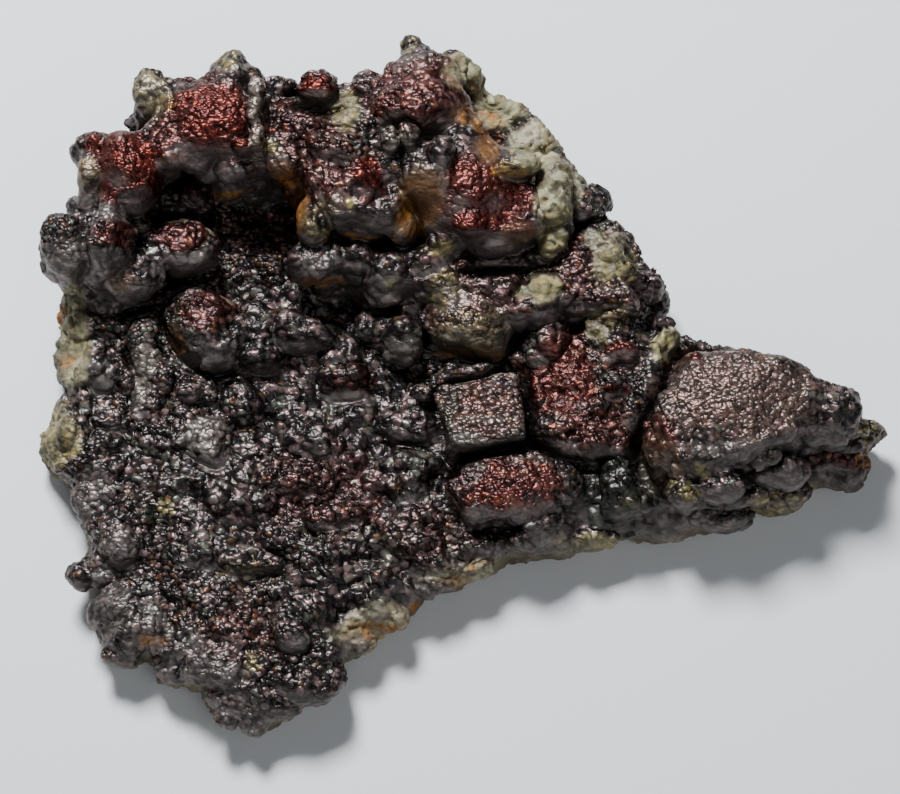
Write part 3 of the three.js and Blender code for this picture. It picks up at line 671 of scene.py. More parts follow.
@dataclass
class Growth:
    """The specimen as a field of distances on a grid, negative inside."""

    ground: Ground = field(default_factory=Ground)
    low: np.ndarray = field(default_factory=lambda: np.array([-87.0, -73.0, -1.5]))
    high: np.ndarray = field(default_factory=lambda: np.array([87.0, 73.0, 42.0]))
    block: tuple[float, ...] = (483, 411, 21.5, 39, 32, 5.8, -9, 0.7)

    def __post_init__(self) -> None:
        """Lay out the grid and grow the field."""
        self.axes = [np.arange(a, b, VOXEL, dtype=np.float32) for a, b in zip(self.low, self.high)]
        self.x, self.y = np.meshgrid(self.axes[0], self.axes[1], indexing="ij")
        self.field = self._slab()
        for area, rows in LOBES.items():
            for row in rows:
                ball = self._lobe(*row, overhanging=area == OVERHANGING)
                self._join(ball, min(JOIN_RADIUS, JOIN_SHARE * min(ball.wide, ball.long)))
        for row in SCALLOPS:
            self._join(self._scallop(*row), SCALLOP_JOIN)
        self._join_block()
        for row in HOLLOWS:
            self._hollow(row)
        self._soften()

    def _slab(self) -> np.ndarray:
        """The slab's field: below its top, inside its edge, above the floor."""
        corners = np.array(EDGE, float)
        depth, wall = self.ground.outline.nearest(self.x, self.y, corners[:, 2])
        flat = np.stack([self.x, self.y, 0 * self.x], axis=-1).reshape(-1, 3)
        ragged = Noise(Seed.EDGE).rough(flat, EDGE_RAGGED_SCALE).reshape(self.x.shape)
        depth = depth + EDGE_RAGGED * ragged
        top = self.ground.top(self.x, self.y, depth, wall)
        rise = np.hypot(*np.gradient(top, VOXEL))
        self.top = top
        z = self.axes[2][None, None, :]
        above = (z - top[:, :, None]) / np.sqrt(1 + rise * rise)[:, :, None]
        foot = np.clip(self.ground.chamfer - z, 0, None)
        outside = -depth[:, :, None] + foot
        return np.maximum(np.maximum(above, outside), -z).astype(np.float32)

    def _soften(self) -> None:
        """Ease the field along each axis by weights of a quarter, a half and a quarter."""
        for axis in range(3):
            whole = np.moveaxis(self.field, axis, 0)
            whole[1:-1] = (whole[:-2] + 2 * whole[1:-1] + whole[2:]) / 4

    def _height_under(self, x: float, y: float) -> float:
        """The slab's height at a plan place."""
        i = int(np.clip(round((x - self.low[0]) / VOXEL), 0, self.top.shape[0] - 1))
        j = int(np.clip(round((y - self.low[1]) / VOXEL), 0, self.top.shape[1] - 1))
        return float(self.top[i, j])

    def _lobe(
        self, col: float, row: float, top: float, half_width: float, half_length: float,
        turn: float = 0.0, half_height: float = 0.0, overhanging: bool = False,
    ) -> Ball:
        """A lobe set by its top and rooted in the slab.

        Args:
            col: Its column in the picture.
            row: Its row.
            top: Its highest point.
            half_width: Half its width in picture points.
            half_length: Half its length in picture points.
            turn: Its turn in plan, in degrees.
            half_height: Half its height, or 0 for one in keeping with its width.
            overhanging: Whether its lower half keeps its shape instead of reaching down.

        Returns:
            The ball.
        """
        high = half_height or PLUMPNESS * min(half_width, half_length) * VIEW.mm_per_point
        middle = top - high
        x, y = VIEW.place(col, row, middle)
        foot = min(max(1.0, (middle - self._height_under(x, y) + ROOTED) / high), FURTHEST_FOOT)
        if overhanging:
            foot = 1.0
        return Ball(x, y, middle, *VIEW.spans(half_width, half_length), high, math.radians(-turn), foot)

    def _scallop(
        self, col: float, row: float, height: float, half_width: float, half_length: float, turn: float
    ) -> Ball:
        """A thin plate lying on what is already grown.

        Args:
            col: Its column in the picture.
            row: Its row.
            height: About how high it lies, to place it in plan.
            half_width: Half its width in picture points.
            half_length: Half its length in picture points.
            turn: Its turn in plan, in degrees.

        Returns:
            The plate, its top a little above the surface.
        """
        x, y = VIEW.place(col, row, height)
        i, j = (int(round((place - low) / VOXEL)) for place, low in zip((x, y), self.low))
        surface = self.axes[2][np.flatnonzero(self.field[i, j] < 0)[-1]]
        middle = float(surface) + SCALLOP_RISE - SCALLOP_HALF_HEIGHT
        spans = VIEW.spans(half_width, half_length)
        return Ball(x, y, middle, *spans, SCALLOP_HALF_HEIGHT, math.radians(-turn), 1.0, SCALLOP_POWER)

    def _window(self, reach: list[tuple[float, float]]) -> tuple[Any, list[np.ndarray]]:
        """The part of the grid in a box.

        Args:
            reach: Low and high for x, y, z.

        Returns:
            The slices of the field, and the grid's x, y, z there, ready to spread.
        """
        cut = tuple(
            slice(*np.searchsorted(axis, span)) for axis, span in zip(self.axes, reach)
        )
        x, y, z = (axis[part] for axis, part in zip(self.axes, cut))
        return cut, [x[:, None, None], y[None, :, None], z[None, None, :]]

    def _join(self, ball: Ball, radius: float) -> None:
        """Join a ball to the field, clear of the floor, its crease rounded by a radius."""
        cut, spread = self._window(ball.reach(WINDOW_MARGIN))
        added = np.maximum(ball.distance(*spread), -spread[2])
        self.field[cut] = smooth_min(self.field[cut], added, radius)

    def _join_block(self) -> None:
        """Join the square block: a rounded box, turned in plan."""
        col, row, top, half_width, half_length, half_height, turn, rounding = self.block
        x, y = VIEW.place(col, row, top)
        half = np.array([*VIEW.spans(half_width, half_length), half_height])
        side = float(half.max()) * math.sqrt(2)
        middle = top - half_height
        reach = [(x - side, x + side), (y - side, y + side), (middle - side, middle + side)]
        cut, (gx, gy, gz) = self._window(reach)
        cos, sin = math.cos(math.radians(turn)), math.sin(math.radians(turn))
        across = np.abs((gx - x) * cos - (gy - y) * sin) - half[0] + rounding
        along = np.abs((gy - y) * cos + (gx - x) * sin) - half[1] + rounding
        up = np.abs(gz - middle) - half[2] + rounding
        outer = np.sqrt(sum(np.clip(part, 0, None) ** 2 for part in (across, along, up)))
        inner = np.minimum(np.maximum(np.maximum(across, along), up), 0)
        self.field[cut] = smooth_min(self.field[cut], outer + inner - rounding, SCALLOP_JOIN)

    def _hollow(self, row: tuple[float, ...]) -> None:
        """Take a ball out of the field."""
        col, line, middle, half_width, half_length, turn, high = row
        x, y = VIEW.place(col, line, middle)
        ball = Ball(x, y, middle, *VIEW.spans(half_width, half_length), high, math.radians(-turn), 1.0)
        cut, spread = self._window(ball.reach(WINDOW_MARGIN))
        self.field[cut] = -smooth_min(-self.field[cut], ball.distance(*spread), JOIN_RADIUS)

    def sample(self, points: np.ndarray) -> np.ndarray:
        """The field at points, from the nearest grid place.

        Args:
            points: Rows of x, y, z.

        Returns:
            The distances.
        """
        index = np.rint((points - self.low) / VOXEL).astype(np.int64)
        index = np.clip(index, 0, np.array(self.field.shape) - 1)
        return self.field[index[:, 0], index[:, 1], index[:, 2]]

    def mesh(self, depth: np.ndarray) -> tuple[np.ndarray, np.ndarray]:
        """The surface of the specimen within a region.

        Args:
            depth: How far each plan place of the grid lies inside the region.

        Returns:
            The points and the four-cornered faces of the closed surface, facing out.
        """
        keep = depth > -SEAM - 2 * VOXEL
        columns = np.flatnonzero(keep.any(axis=1))
        rows = np.flatnonzero(keep.any(axis=0))
        a, b = max(columns[0] - 2, 0), columns[-1] + 3
        c, d = max(rows[0] - 2, 0), rows[-1] + 3
        part = np.maximum(self.field[a:b, c:d], -(depth[a:b, c:d, None] + SEAM)).astype(np.float32)
        part = np.clip(part, -FIELD_REACH, FIELD_REACH)
        part = np.pad(part, 1, constant_values=FIELD_REACH)
        grid = openvdb.FloatGrid(FIELD_REACH)
        grid.copyFromArray(part)
        points, quads = grid.convertToQuads(0.0)
        points = (np.asarray(points, float) - 1 + np.array([a, c, 0])) * VOXEL + self.low
        quads = np.asarray(quads, np.int64)
        ends = points[quads]
        spin = np.cross(ends[:, 2] - ends[:, 0], ends[:, 3] - ends[:, 1])
        if float((ends.mean(axis=1) * spin).sum()) < 0:
            quads = quads[:, ::-1]
        return points, quads


def normals_of(points: np.ndarray, quads: np.ndarray) -> np.ndarray:
    """The unit normal at each point.

    Args:
        points: Rows of x, y, z.
        quads: Rows of four point numbers.

    Returns:
        The sum of the crossed diagonals of the faces round each point, made unit.
    """
    ends = points[quads]
    spin = np.cross(ends[:, 2] - ends[:, 0], ends[:, 3] - ends[:, 1])
    total = np.stack(
        [
            np.bincount(quads.ravel(), np.repeat(spin[:, axis], 4), minlength=len(points))
            for axis in range(3)
        ],
        axis=1,
    )
    return total / np.maximum(np.linalg.norm(total, axis=1, keepdims=True), 1e-12)


@dataclass(frozen=True)
class Loss:
    """How much of a relief is lost where the crust is calm, bare rock or a smooth flank."""

    calm: float
    rock: float = 0.0
    front: float = 0.0

    def left(self, marks: dict[str, np.ndarray]) -> np.ndarray:
        """What is left of it.

        Args:
            marks: A number for each point by attribute name.

        Returns:
            The product of 1 less each loss times its mark.
        """
        left = 1 - self.calm * marks["calm"]
        left = left * (1 - self.rock * marks["rock"])
        return left * (1 - self.front * marks["front"])


@dataclass(frozen=True)
class Bumps:
    """Round bumps, one to a cell of cellular noise, in millimetres.

    `reach` is a bump's radius in cells, and `level` the part of its height that the surface keeps.
    """

    height: float
    scale: float
    reach: float
    level: float
    loss: Loss
    seed: Seed

    def domes(self, points: np.ndarray) -> tuple[np.ndarray, np.ndarray]:
        """The bumps over points.

        Args:
            points: Rows of x, y, z.

        Returns:
            The root of 1 less the square of the distance over the reach, and each bump's own number.
        """
        near, own = Noise(self.seed).cells(points, self.scale)
        return np.sqrt(np.clip(1 - (near / self.reach) ** 2, 0, 1)), own


@dataclass(frozen=True)
class Relief:
    """What the surface carries above its form, in millimetres.

    A pair of numbers is where something starts and where it is complete.
    """

    warp: float = 1.2
    warp_scale: float = 7.0
    warp_share: tuple[float, float, float] = (1.0, 1.0, 0.7)
    warp_loss: Loss = Loss(calm=0.7)
    lumps: Bumps = Bumps(2.5, 6.0, 0.95, 0.72, Loss(0.8, 0.6, 0.5), Seed.LUMPS)
    lump_sizes: tuple[float, float] = (0.5, 0.9)
    knobs: Bumps = Bumps(1.15, 3.2, 0.85, 0.0, Loss(0.85, 0.7), Seed.KNOBS)
    knob_share: tuple[float, float] = (0.25, 0.75)
    beads: Bumps = Bumps(0.9, 1.5, 0.84, 0.65, Loss(0.65, 0.8, 0.8), Seed.BEADS)
    cluster: float = 3.4
    cluster_scale: float = 12.0
    cluster_level: float = 0.55
    cluster_loss: Loss = Loss(1.0, 1.0)
    grey_loss: float = 0.4
    layer: float = 0.9
    layer_scale: float = 7.0
    layer_stretch: tuple[float, float, float] = (1.0, 1.0, 1.6)
    layers: float = 6.0
    layer_step: tuple[float, float] = (0.82, 1.0)
    layer_slope: float = 0.6
    rough: float = 0.85
    rough_scale: float = 1.7
    coarse_scale: float = 15.0
    coarse: tuple[float, float] = (-0.05, 0.25)
    above_floor: tuple[float, float] = (0.3, 3.0)
    shelf_height: tuple[float, float] = (21.0, 27.0)
    shelf_loss: float = 0.6
    shade_reaches: tuple[float, ...] = (1.5, 3.0, 6.0)
    in_shade: tuple[float, float] = (0.3, 0.7)
    shade_loss: float = 0.6

    def carve(
        self, growth: Growth, points: np.ndarray, quads: np.ndarray
    ) -> tuple[np.ndarray, dict[str, np.ndarray]]:
        """Raise the relief on a surface and work out what its finish needs.

        Args:
            growth: The field that the surface came from.
            points: The surface's points.
            quads: Its faces.

        Returns:
            The moved points, and a number for each point by attribute name.
        """
        normals = normals_of(points, quads)
        shade = self._shade(growth, points, normals)
        free = smoothstep(points[:, 2], *self.above_floor)
        free = free * (1 - self.shade_loss * smoothstep(shade, *self.in_shade))
        marks, painted = self._marks(points, normals)
        on_floor = 1 - self.shelf_loss * smoothstep(points[:, 2], *self.shelf_height)
        drift = np.stack(
            [Noise(Seed.DRIFT + axis).smooth(points, self.warp_scale) for axis in range(3)], axis=1
        )
        drifting = self.warp * free * self.warp_loss.left(marks)
        moved = points + drift * drifting[:, None] * np.array(self.warp_share)
        dome, own = self.lumps.domes(moved)
        least, spread = self.lump_sizes
        amount = self.lumps.height * on_floor * self.lumps.loss.left(marks) * (least + spread * own)
        far, _ = Noise(Seed.CLUSTERS).cells(moved, self.cluster_scale)
        swollen = self.cluster * (self.cluster_level - far) * on_floor * self.cluster_loss.left(marks)
        knob, bulge = self.knobs.domes(moved)
        knob = self.knobs.height * knob * smoothstep(bulge, *self.knob_share)
        knob = knob * self.knobs.loss.left(marks) * on_floor
        bumpy = ((dome - self.lumps.level) * amount + knob + swollen) * (1 - self.grey_loss * marks["grey"])
        level, ledge = self._layers(points)
        moved = moved + normals * ((bumpy + self.layer * ledge * painted) * free)[:, None]
        normals = normals_of(moved, quads)
        bead, _ = self.beads.domes(moved)
        size = self.beads.height * self.beads.loss.left(marks)
        moved = moved + normals * ((bead - self.beads.level) * size * free)[:, None]
        broken = Noise(Seed.BROKEN).rough(moved, self.rough_scale) * self.rough * marks["rock"]
        moved = moved + normals * (broken * free)[:, None]
        calm, front = marks["calm"], marks["front"]
        # The dents between lumps, the bead heights and how shut in each point is also set where the finish
        # paints shade.
        marks["dent"] = 1 - (1 - dome) * (1 - calm) * (1 - front) * on_floor
        marks["layer"] = level
        spots = smoothstep(Noise(Seed.COARSE).smooth(points, self.coarse_scale), *self.coarse)
        marks["coarse"] = spots * (1 - 0.8 * calm)
        marks["shade"] = shade
        marks["bead"] = bead
        return moved, marks

    def _shade(self, growth: Growth, points: np.ndarray, normals: np.ndarray) -> np.ndarray:
        """How shut in each point is.

        Args:
            growth: The field that the surface came from.
            points: The surface's points.
            normals: The unit normals there.

        Returns:
            The mean, over some reaches along the normal, of 1 less the field there over the reach.
        """
        shade = np.zeros(len(points))
        for reach in self.shade_reaches:
            shade += np.clip(1 - growth.sample(points + normals * reach) / reach, 0, 1)
        return shade / len(self.shade_reaches)

    def _layers(self, points: np.ndarray) -> tuple[np.ndarray, np.ndarray]:
        """The thin layers of the bare rock.

        Args:
            points: Rows of x, y, z.

        Returns:
            Which layer each point lies in, running on through it, and how far it stands out: the whole
            part and an eased step, less a share of the running number.
        """
        level = Noise(Seed.LAYERS).rough(points * np.array(self.layer_stretch), self.layer_scale)
        level = (level + 1) * self.layers / 2
        step = np.floor(level) + smoothstep(level % 1, *self.layer_step)
        return level, step - level * self.layer_slope

    def _marks(self, points: np.ndarray, normals: np.ndarray) -> tuple[dict[str, np.ndarray], np.ndarray]:
        """What kind of surface each point lies on.

        Args:
            points: Rows of x, y, z.
            normals: The unit normals there.

        Returns:
            The stains, the smooth flanks and the broken walls by attribute name, and the stain of rock
            alone, without the walls.
        """
        col, row = VIEW.picture(points)
        marks = {tint.value: self._stain(points, col, row, tint) for tint in Tint}
        uneven = FLANK_UNEVEN * Noise(Seed.FRONT).smooth(points, FLANK_SCALE)
        front = smoothstep(uneven - normals[:, 1], *FLANK_FACING)
        grey = GREY_AS_FLANK * marks["grey"]
        marks["front"] = np.maximum(front, np.maximum(grey, marks["brown"]))
        side = smoothstep(1 - normals[:, 2], *SIDE_STEEPNESS) * (1 - smoothstep(points[:, 2], *SIDE_HEIGHT))
        back = smoothstep(normals[:, 1], *BACK_FACING) * (1 - smoothstep(normals[:, 2], *BACK_STEEPNESS))
        painted = marks["rock"]
        marks["rock"] = np.maximum(np.maximum(painted, side), BACK_ROCK * back)
        marks["wall"] = np.maximum(side, back) * (1 - WALL_CLEAR * painted)
        marks["red"] = marks["red"] * (1 - back)
        return marks, painted

    def _stain(self, points: np.ndarray, col: np.ndarray, row: np.ndarray, tint: Tint) -> np.ndarray:
        """How strongly a stain covers each point.

        Args:
            points: Rows of x, y, z.
            col: Their columns in the picture.
            row: Their rows.
            tint: Which stain.

        Returns:
            The strongest of its spots, each fading at a ragged rim.
        """
        ragged = STAIN_RAGGED * Noise(Seed.STAINS).rough(points, STAIN_SCALE)
        total = np.zeros(len(points))
        for at_col, at_row, half_width, half_length, strength in STAINS[tint]:
            away = np.hypot((col - at_col) / half_width, (row - at_row) / half_length) + ragged
            total = np.maximum(total, strength * (1 - smoothstep(away, *STAIN_RIM)))
        return total * smoothstep(points[:, 2], *STAIN_HEIGHT)


class Sum:
    """A shader value that can be written in sums."""

    def __init__(self, shader: "Shader", socket: Any) -> None:
        """Wrap a socket of a shader."""
        self.shader = shader
        self.socket = socket

    def _math(self, operation: str, first: Any, second: Any = 0.0) -> "Sum":
        """One step of arithmetic.

        Args:
            operation: The node's operation.
            first: The first value.
            second: The second value.

        Returns:
            The result.
        """
        return self.shader.node("ShaderNodeMath", {"operation": operation}, {0: first, 1: second})

    def __add__(self, other: Any) -> "Sum":
        """Self plus other."""
        return self._math("ADD", self, other)

    __radd__ = __add__

    def __mul__(self, other: Any) -> "Sum":
        """Self times other."""
        return self._math("MULTIPLY", self, other)

    __rmul__ = __mul__

    def __sub__(self, other: Any) -> "Sum":
        """Self less other."""
        return self._math("SUBTRACT", self, other)

    def __rsub__(self, other: Any) -> "Sum":
        """Other less self."""
        return self._math("SUBTRACT", other, self)

    def between(self, low: float, high: float) -> "Sum":
        """Eased from 0 at `low` to 1 at `high`."""
        return self.shader.node(
            "ShaderNodeMapRange", {"interpolation_type": "SMOOTHSTEP"}, {0: self, 1: low, 2: high}
        )

    def least(self, other: Any) -> "Sum":
        """The smaller of self and other."""
        return self._math("MINIMUM", self, other)

    def most(self, other: Any) -> "Sum":
        """The larger of self and other."""
        return self._math("MAXIMUM", self, other)


class Shader:
    """A material's nodes, written from Python."""

    def __init__(self, name: str) -> None:
        """Start an empty material of this name."""
        self.material = bpy.data.materials.new(name)
        self.material.use_nodes = True
        self.tree = self.material.node_tree
        self.tree.nodes.clear()

    def node(self, kind: str, settings: dict[str, Any], values: dict[Any, Any], output: Any = 0) -> Sum:
        """Add a node.

        Args:
            kind: The node's type.
            settings: Its properties, set first.
            values: Numbers, colours or sums for its inputs, by name or number.
            output: Which output to take.

        Returns:
            That output.
        """
        made = self.tree.nodes.new(kind)
        for key, value in settings.items():
            setattr(made, key, value)
        for key, value in values.items():
            if isinstance(value, Sum):
                self.tree.links.new(value.socket, made.inputs[key])
            else:
                made.inputs[key].default_value = value
        return Sum(self, made.outputs[output] if made.outputs else None)

    def number(self, name: str) -> Sum:
        """A number carried by the mesh."""
        return self.node("ShaderNodeAttribute", {"attribute_name": name}, {}, "Fac")

    def noise(self, scale: float, detail: float = 3.0) -> Sum:
        """Noise in the object's own space, from 0 to 1."""
        where = self.node("ShaderNodeTexCoord", {}, {}, "Object")
        return self.node("ShaderNodeTexNoise", {}, {"Vector": where, "Scale": scale, "Detail": detail})

    def mix(self, factor: Any, first: Any, second: Any) -> Sum:
        """A colour between two.

        Args:
            factor: 0 for the first, 1 for the second.
            first: A colour or a sum.
            second: A colour or a sum.

        Returns:
            The mixed colour.
        """
        return self.node(
            "ShaderNodeMix", {"data_type": "RGBA"}, {"Factor": factor, 6: first, 7: second}, 2
        )

    def surface(self, values: dict[str, Any]) -> bpy.types.Material:
        """Finish with a principled surface.

        Args:
            values: Its inputs.

        Returns:
            The material.
        """
        shown = self.node("ShaderNodeBsdfPrincipled", {}, values)
        self.node("ShaderNodeOutputMaterial", {}, {"Surface": shown})
        return self.material


@dataclass(frozen=True)
class CrustFinish:
    """Goethite crust: lustrous dark beads, stained red, ochre and olive, with smooth grey flanks partly
    painted light.

    The beads' sizes and the noise's scales are in cells a metre.
    """

    finest_beads: float = 1150.0
    fine_beads: float = 900.0
    large_beads: float = 640.0
    large_share: float = 0.8
    bend_scale: float = 420.0
    bend: float = 0.0014
    stretch: tuple[float, float, float] = (0.82, 1.12, 1.0)
    patch_scale: float = 95.0
    fleck_scale: float = 900.0
    ochre_scale: float = 420.0
    pit_scale: float = 1400.0
    grain_scale: float = 700.0
    layer_colour_step: float = 0.41
    bump_height: float = 0.00048
    metallic: float = 0.5
    red_metallic: float = 0.35
    roughness: float = 0.3
    stone_roughness: float = 0.4
    specular: float = 0.65
    specular_tint: tuple[float, float, float, float] = (1.0, 0.9, 0.88, 1.0)
    dark: str = "130e0e"
    mauve: str = "2b2022"
    # The front-facing flanks' grey: partly their own smooth grey-brown, partly painted light from the
    # front.
    flank: str = "5d5654"
    # The grey spots' colour: grey-brown crust, partly painted sheen.
    grey: str = "69625d"
    brown: str = "644629"
    red: str = "360a06"
    bright_red: str = "6c1f10"
    ochre: str = "94601f"
    olive: str = "4b4738"
    yellow: str = "968850"
    pale: str = "918579"
    # Green: real green patches, and painted shade where its large spot lies.
    green: str = "232c22"
    rock: str = "bdb892"
    rock_shade: str = "6e6a4c"
    ochre_edge: str = "80602a"
    wall_rock: str = "43352a"
    pink_tip: str = "7d6562"
    green_tip: str = "626559"
    warm_tip: str = "68452e"
    # Near black, laid over the colour as painted shade in hollows, dents and between the beads.
    painted_shade_colour: str = "040303"

    def material(self) -> bpy.types.Material:
        """Build the material.

        Returns:
            It: stains laid one over the other, with painted shade darkening the hollows and between the
                beads.
        """
        s = Shader("goethite crust")
        fleck = s.noise(self.fleck_scale, 2.0)
        cell, own, hue = self._beads(s)
        front, stone, red = s.number("front"), s.number("rock"), s.number("red")
        ochre, calm = s.number("ochre"), s.number("calm")
        redness = red * (1 - front * 0.75) * (0.6 + fleck * 0.4 + own * 0.3).least(1.0)
        base = self._crust(s, own, hue, front)
        base = s.mix(redness, base, s.mix(own, linear(self.red), linear(self.bright_red)))
        base = s.mix(stone * 0.85, base, self._rock(s, fleck))
        broken_ochre = ochre * (0.25 + s.noise(self.ochre_scale, 4.0).between(0.38, 0.6) * 0.75)
        base = s.mix(broken_ochre, base, linear(self.ochre))
        olive = s.mix(own.between(0.1, 0.9), linear(self.olive), linear(self.yellow))
        # Thin stains; green's large spot is painted shade.
        thin_stains = (
            ("olive", 0.75, olive), ("green", 0.8, linear(self.green)), ("pale", 0.55, linear(self.pale))
        )
        for name, strength, colour in thin_stains:
            base = s.mix(s.number(name) * strength, base, colour)
        # Painted shade: a dark ring round each bead, weaker on rock, flanks, red and calm crust.
        rim = cell.between(0.36, 0.68) * (1 - stone * 0.8) * (1 - front * 0.65)
        rim = rim * (1 - red * 0.4) * (1 - calm * 0.45)
        # The strongest painted shade, from the hollows or the ring round each bead, mixes in the near
        # black.
        shade_share = self._painted_shade(s, front, stone).most(rim * 0.92)
        rough = self.roughness + stone * self.stone_roughness + fleck * 0.14 + ochre * 0.2 + front * 0.08
        height = (1 - cell * cell) * (1 - front * 0.6) * (1 - stone * 0.8) + fleck * 0.15
        height = height + stone * s.noise(self.grain_scale, 4.0) * 1.2
        bump = {"Strength": 1.0, "Distance": self.bump_height, "Height": height}
        return s.surface({
            "Base Color": s.mix(shade_share, base, linear(self.painted_shade_colour)),
            "Roughness": rough,
            "Metallic": (1 - stone) * (self.metallic + redness * self.red_metallic),
            "Specular IOR Level": self.specular,
            "Specular Tint": self.specular_tint,
            "Normal": s.node("ShaderNodeBump", {}, bump, "Normal"),
        })

    def _beads(self, s: Shader) -> tuple[Sum, Sum, Sum]:
        """The cells that the beads fill, bent and drawn out a little.

        Args:
            s: The shader.

        Returns:
            The distance to the middle of a bead, and two numbers of its own.
        """
        where = s.node("ShaderNodeTexCoord", {}, {}, "Object")
        bend = s.node("ShaderNodeTexNoise", {}, {"Vector": where, "Scale": self.bend_scale}, "Color")
        bent = s.node("ShaderNodeVectorMath", {"operation": "MULTIPLY_ADD"},
                      {0: bend, 1: (self.bend,) * 3, 2: where}, "Vector")
        drawn = {0: bent, 1: self.stretch}
        bent = s.node("ShaderNodeVectorMath", {"operation": "MULTIPLY"}, drawn, "Vector")
        finest, fine, large = (
            s.node("ShaderNodeTexVoronoi", {}, {"Vector": bent, "Scale": scale}, "Distance")
            for scale in (self.finest_beads, self.fine_beads, self.large_beads)
        )
        coarse = s.number("coarse") * self.large_share
        cell = fine + coarse * (large - fine)
        cell = cell + s.number("calm") * (finest - cell)
        tone = s.mix(coarse, *(
            s.node("ShaderNodeTexVoronoi", {}, {"Vector": bent, "Scale": scale}, "Color")
            for scale in (self.fine_beads, self.large_beads)
        ))
        own, hue = (
            s.node("ShaderNodeSeparateColor", {}, {"Color": tone}, channel) for channel in ("Red", "Green")
        )
        return cell, own, hue

    def _crust(self, s: Shader, own: Sum, hue: Sum, front: Sum) -> Sum:
        """The crust's colour: dark with lighter tips, and its smooth flanks, lighter partly as painted
        light.

        Args:
            s: The shader.
            own: A number for each bead, which sets how light it is.
            hue: Another, which sets its tint.
            front: How much of a flank it is.

        Returns:
            The colour.
        """
        patch = s.noise(self.patch_scale, 4.0)
        base = s.mix(patch.between(0.38, 0.66), linear(self.dark), linear(self.mauve))
        tip = s.mix(hue.between(0.5, 0.6), linear(self.pink_tip), linear(self.green_tip))
        tip = s.mix(hue.between(0.78, 0.86), tip, linear(self.warm_tip))
        base = s.mix(own.between(0.3, 0.9) * 0.8, base, tip)
        # Front-facing flanks lighter: partly a smoother grey-brown surface, partly painted light.
        base = s.mix(front * 0.65, base, linear(self.flank))
        # Grey spots: grey-brown crust, partly painted sheen.
        base = s.mix(s.number("grey") * 0.6, base, linear(self.grey))
        return s.mix(s.number("brown") * 0.9, base, linear(self.brown))

    def _rock(self, s: Shader, fleck: Sum) -> Sum:
        """The bare rock's colour: layered, flecked, pitted, and browner on the broken walls.

        Args:
            s: The shader.
            fleck: The fine noise.

        Returns:
            The colour.
        """
        layer = s.number("layer")
        share, edge = (
            s.node("ShaderNodeMath", {"operation": "FRACT"}, {0: number})
            for number in (layer * self.layer_colour_step, layer)
        )
        rock = s.mix(share.between(0.2, 0.8), linear(self.rock_shade), linear(self.rock))
        rock = s.mix(fleck.between(0.35, 0.65) * 0.5, rock, linear(self.rock_shade))
        rock = s.mix(edge.between(0.7, 0.9) * 0.5, rock, linear(self.ochre_edge))
        rock = s.mix(s.noise(self.pit_scale, 3.0).between(0.57, 0.7) * 0.55, rock, linear(self.mauve))
        return s.mix(s.number("wall") * 0.75, rock, linear(self.wall_rock))

    def _painted_shade(self, s: Shader, front: Sum, stone: Sum) -> Sum:
        """How much painted shade darkens the hollows: between the beads, in the dents between lumps, and
        where shut in.

        Args:
            s: The shader.
            front: How much of a flank it is.
            stone: How much of it is bare rock.

        Returns:
            The largest of the three.
        """
        # Painted shade between the beads, in the dents between lumps, and where the surface is shut in.
        between = (1 - s.number("bead").between(0.2, 0.75)) * (1 - front * 0.6) * (1 - stone * 0.6) * 0.55
        dented = (1 - s.number("dent").between(0.1, 0.6)) * 0.8 * (1 - stone * 0.7)
        # Brown and grey spots take less of the painted shade where shut in.
        lit = s.number("brown") * 0.5 + s.number("grey") * 0.4
        shut_in = s.number("shade").between(0.25, 0.75) * (0.9 - lit) * (1 - stone * 0.4)
        return between.most(dented).most(shut_in)


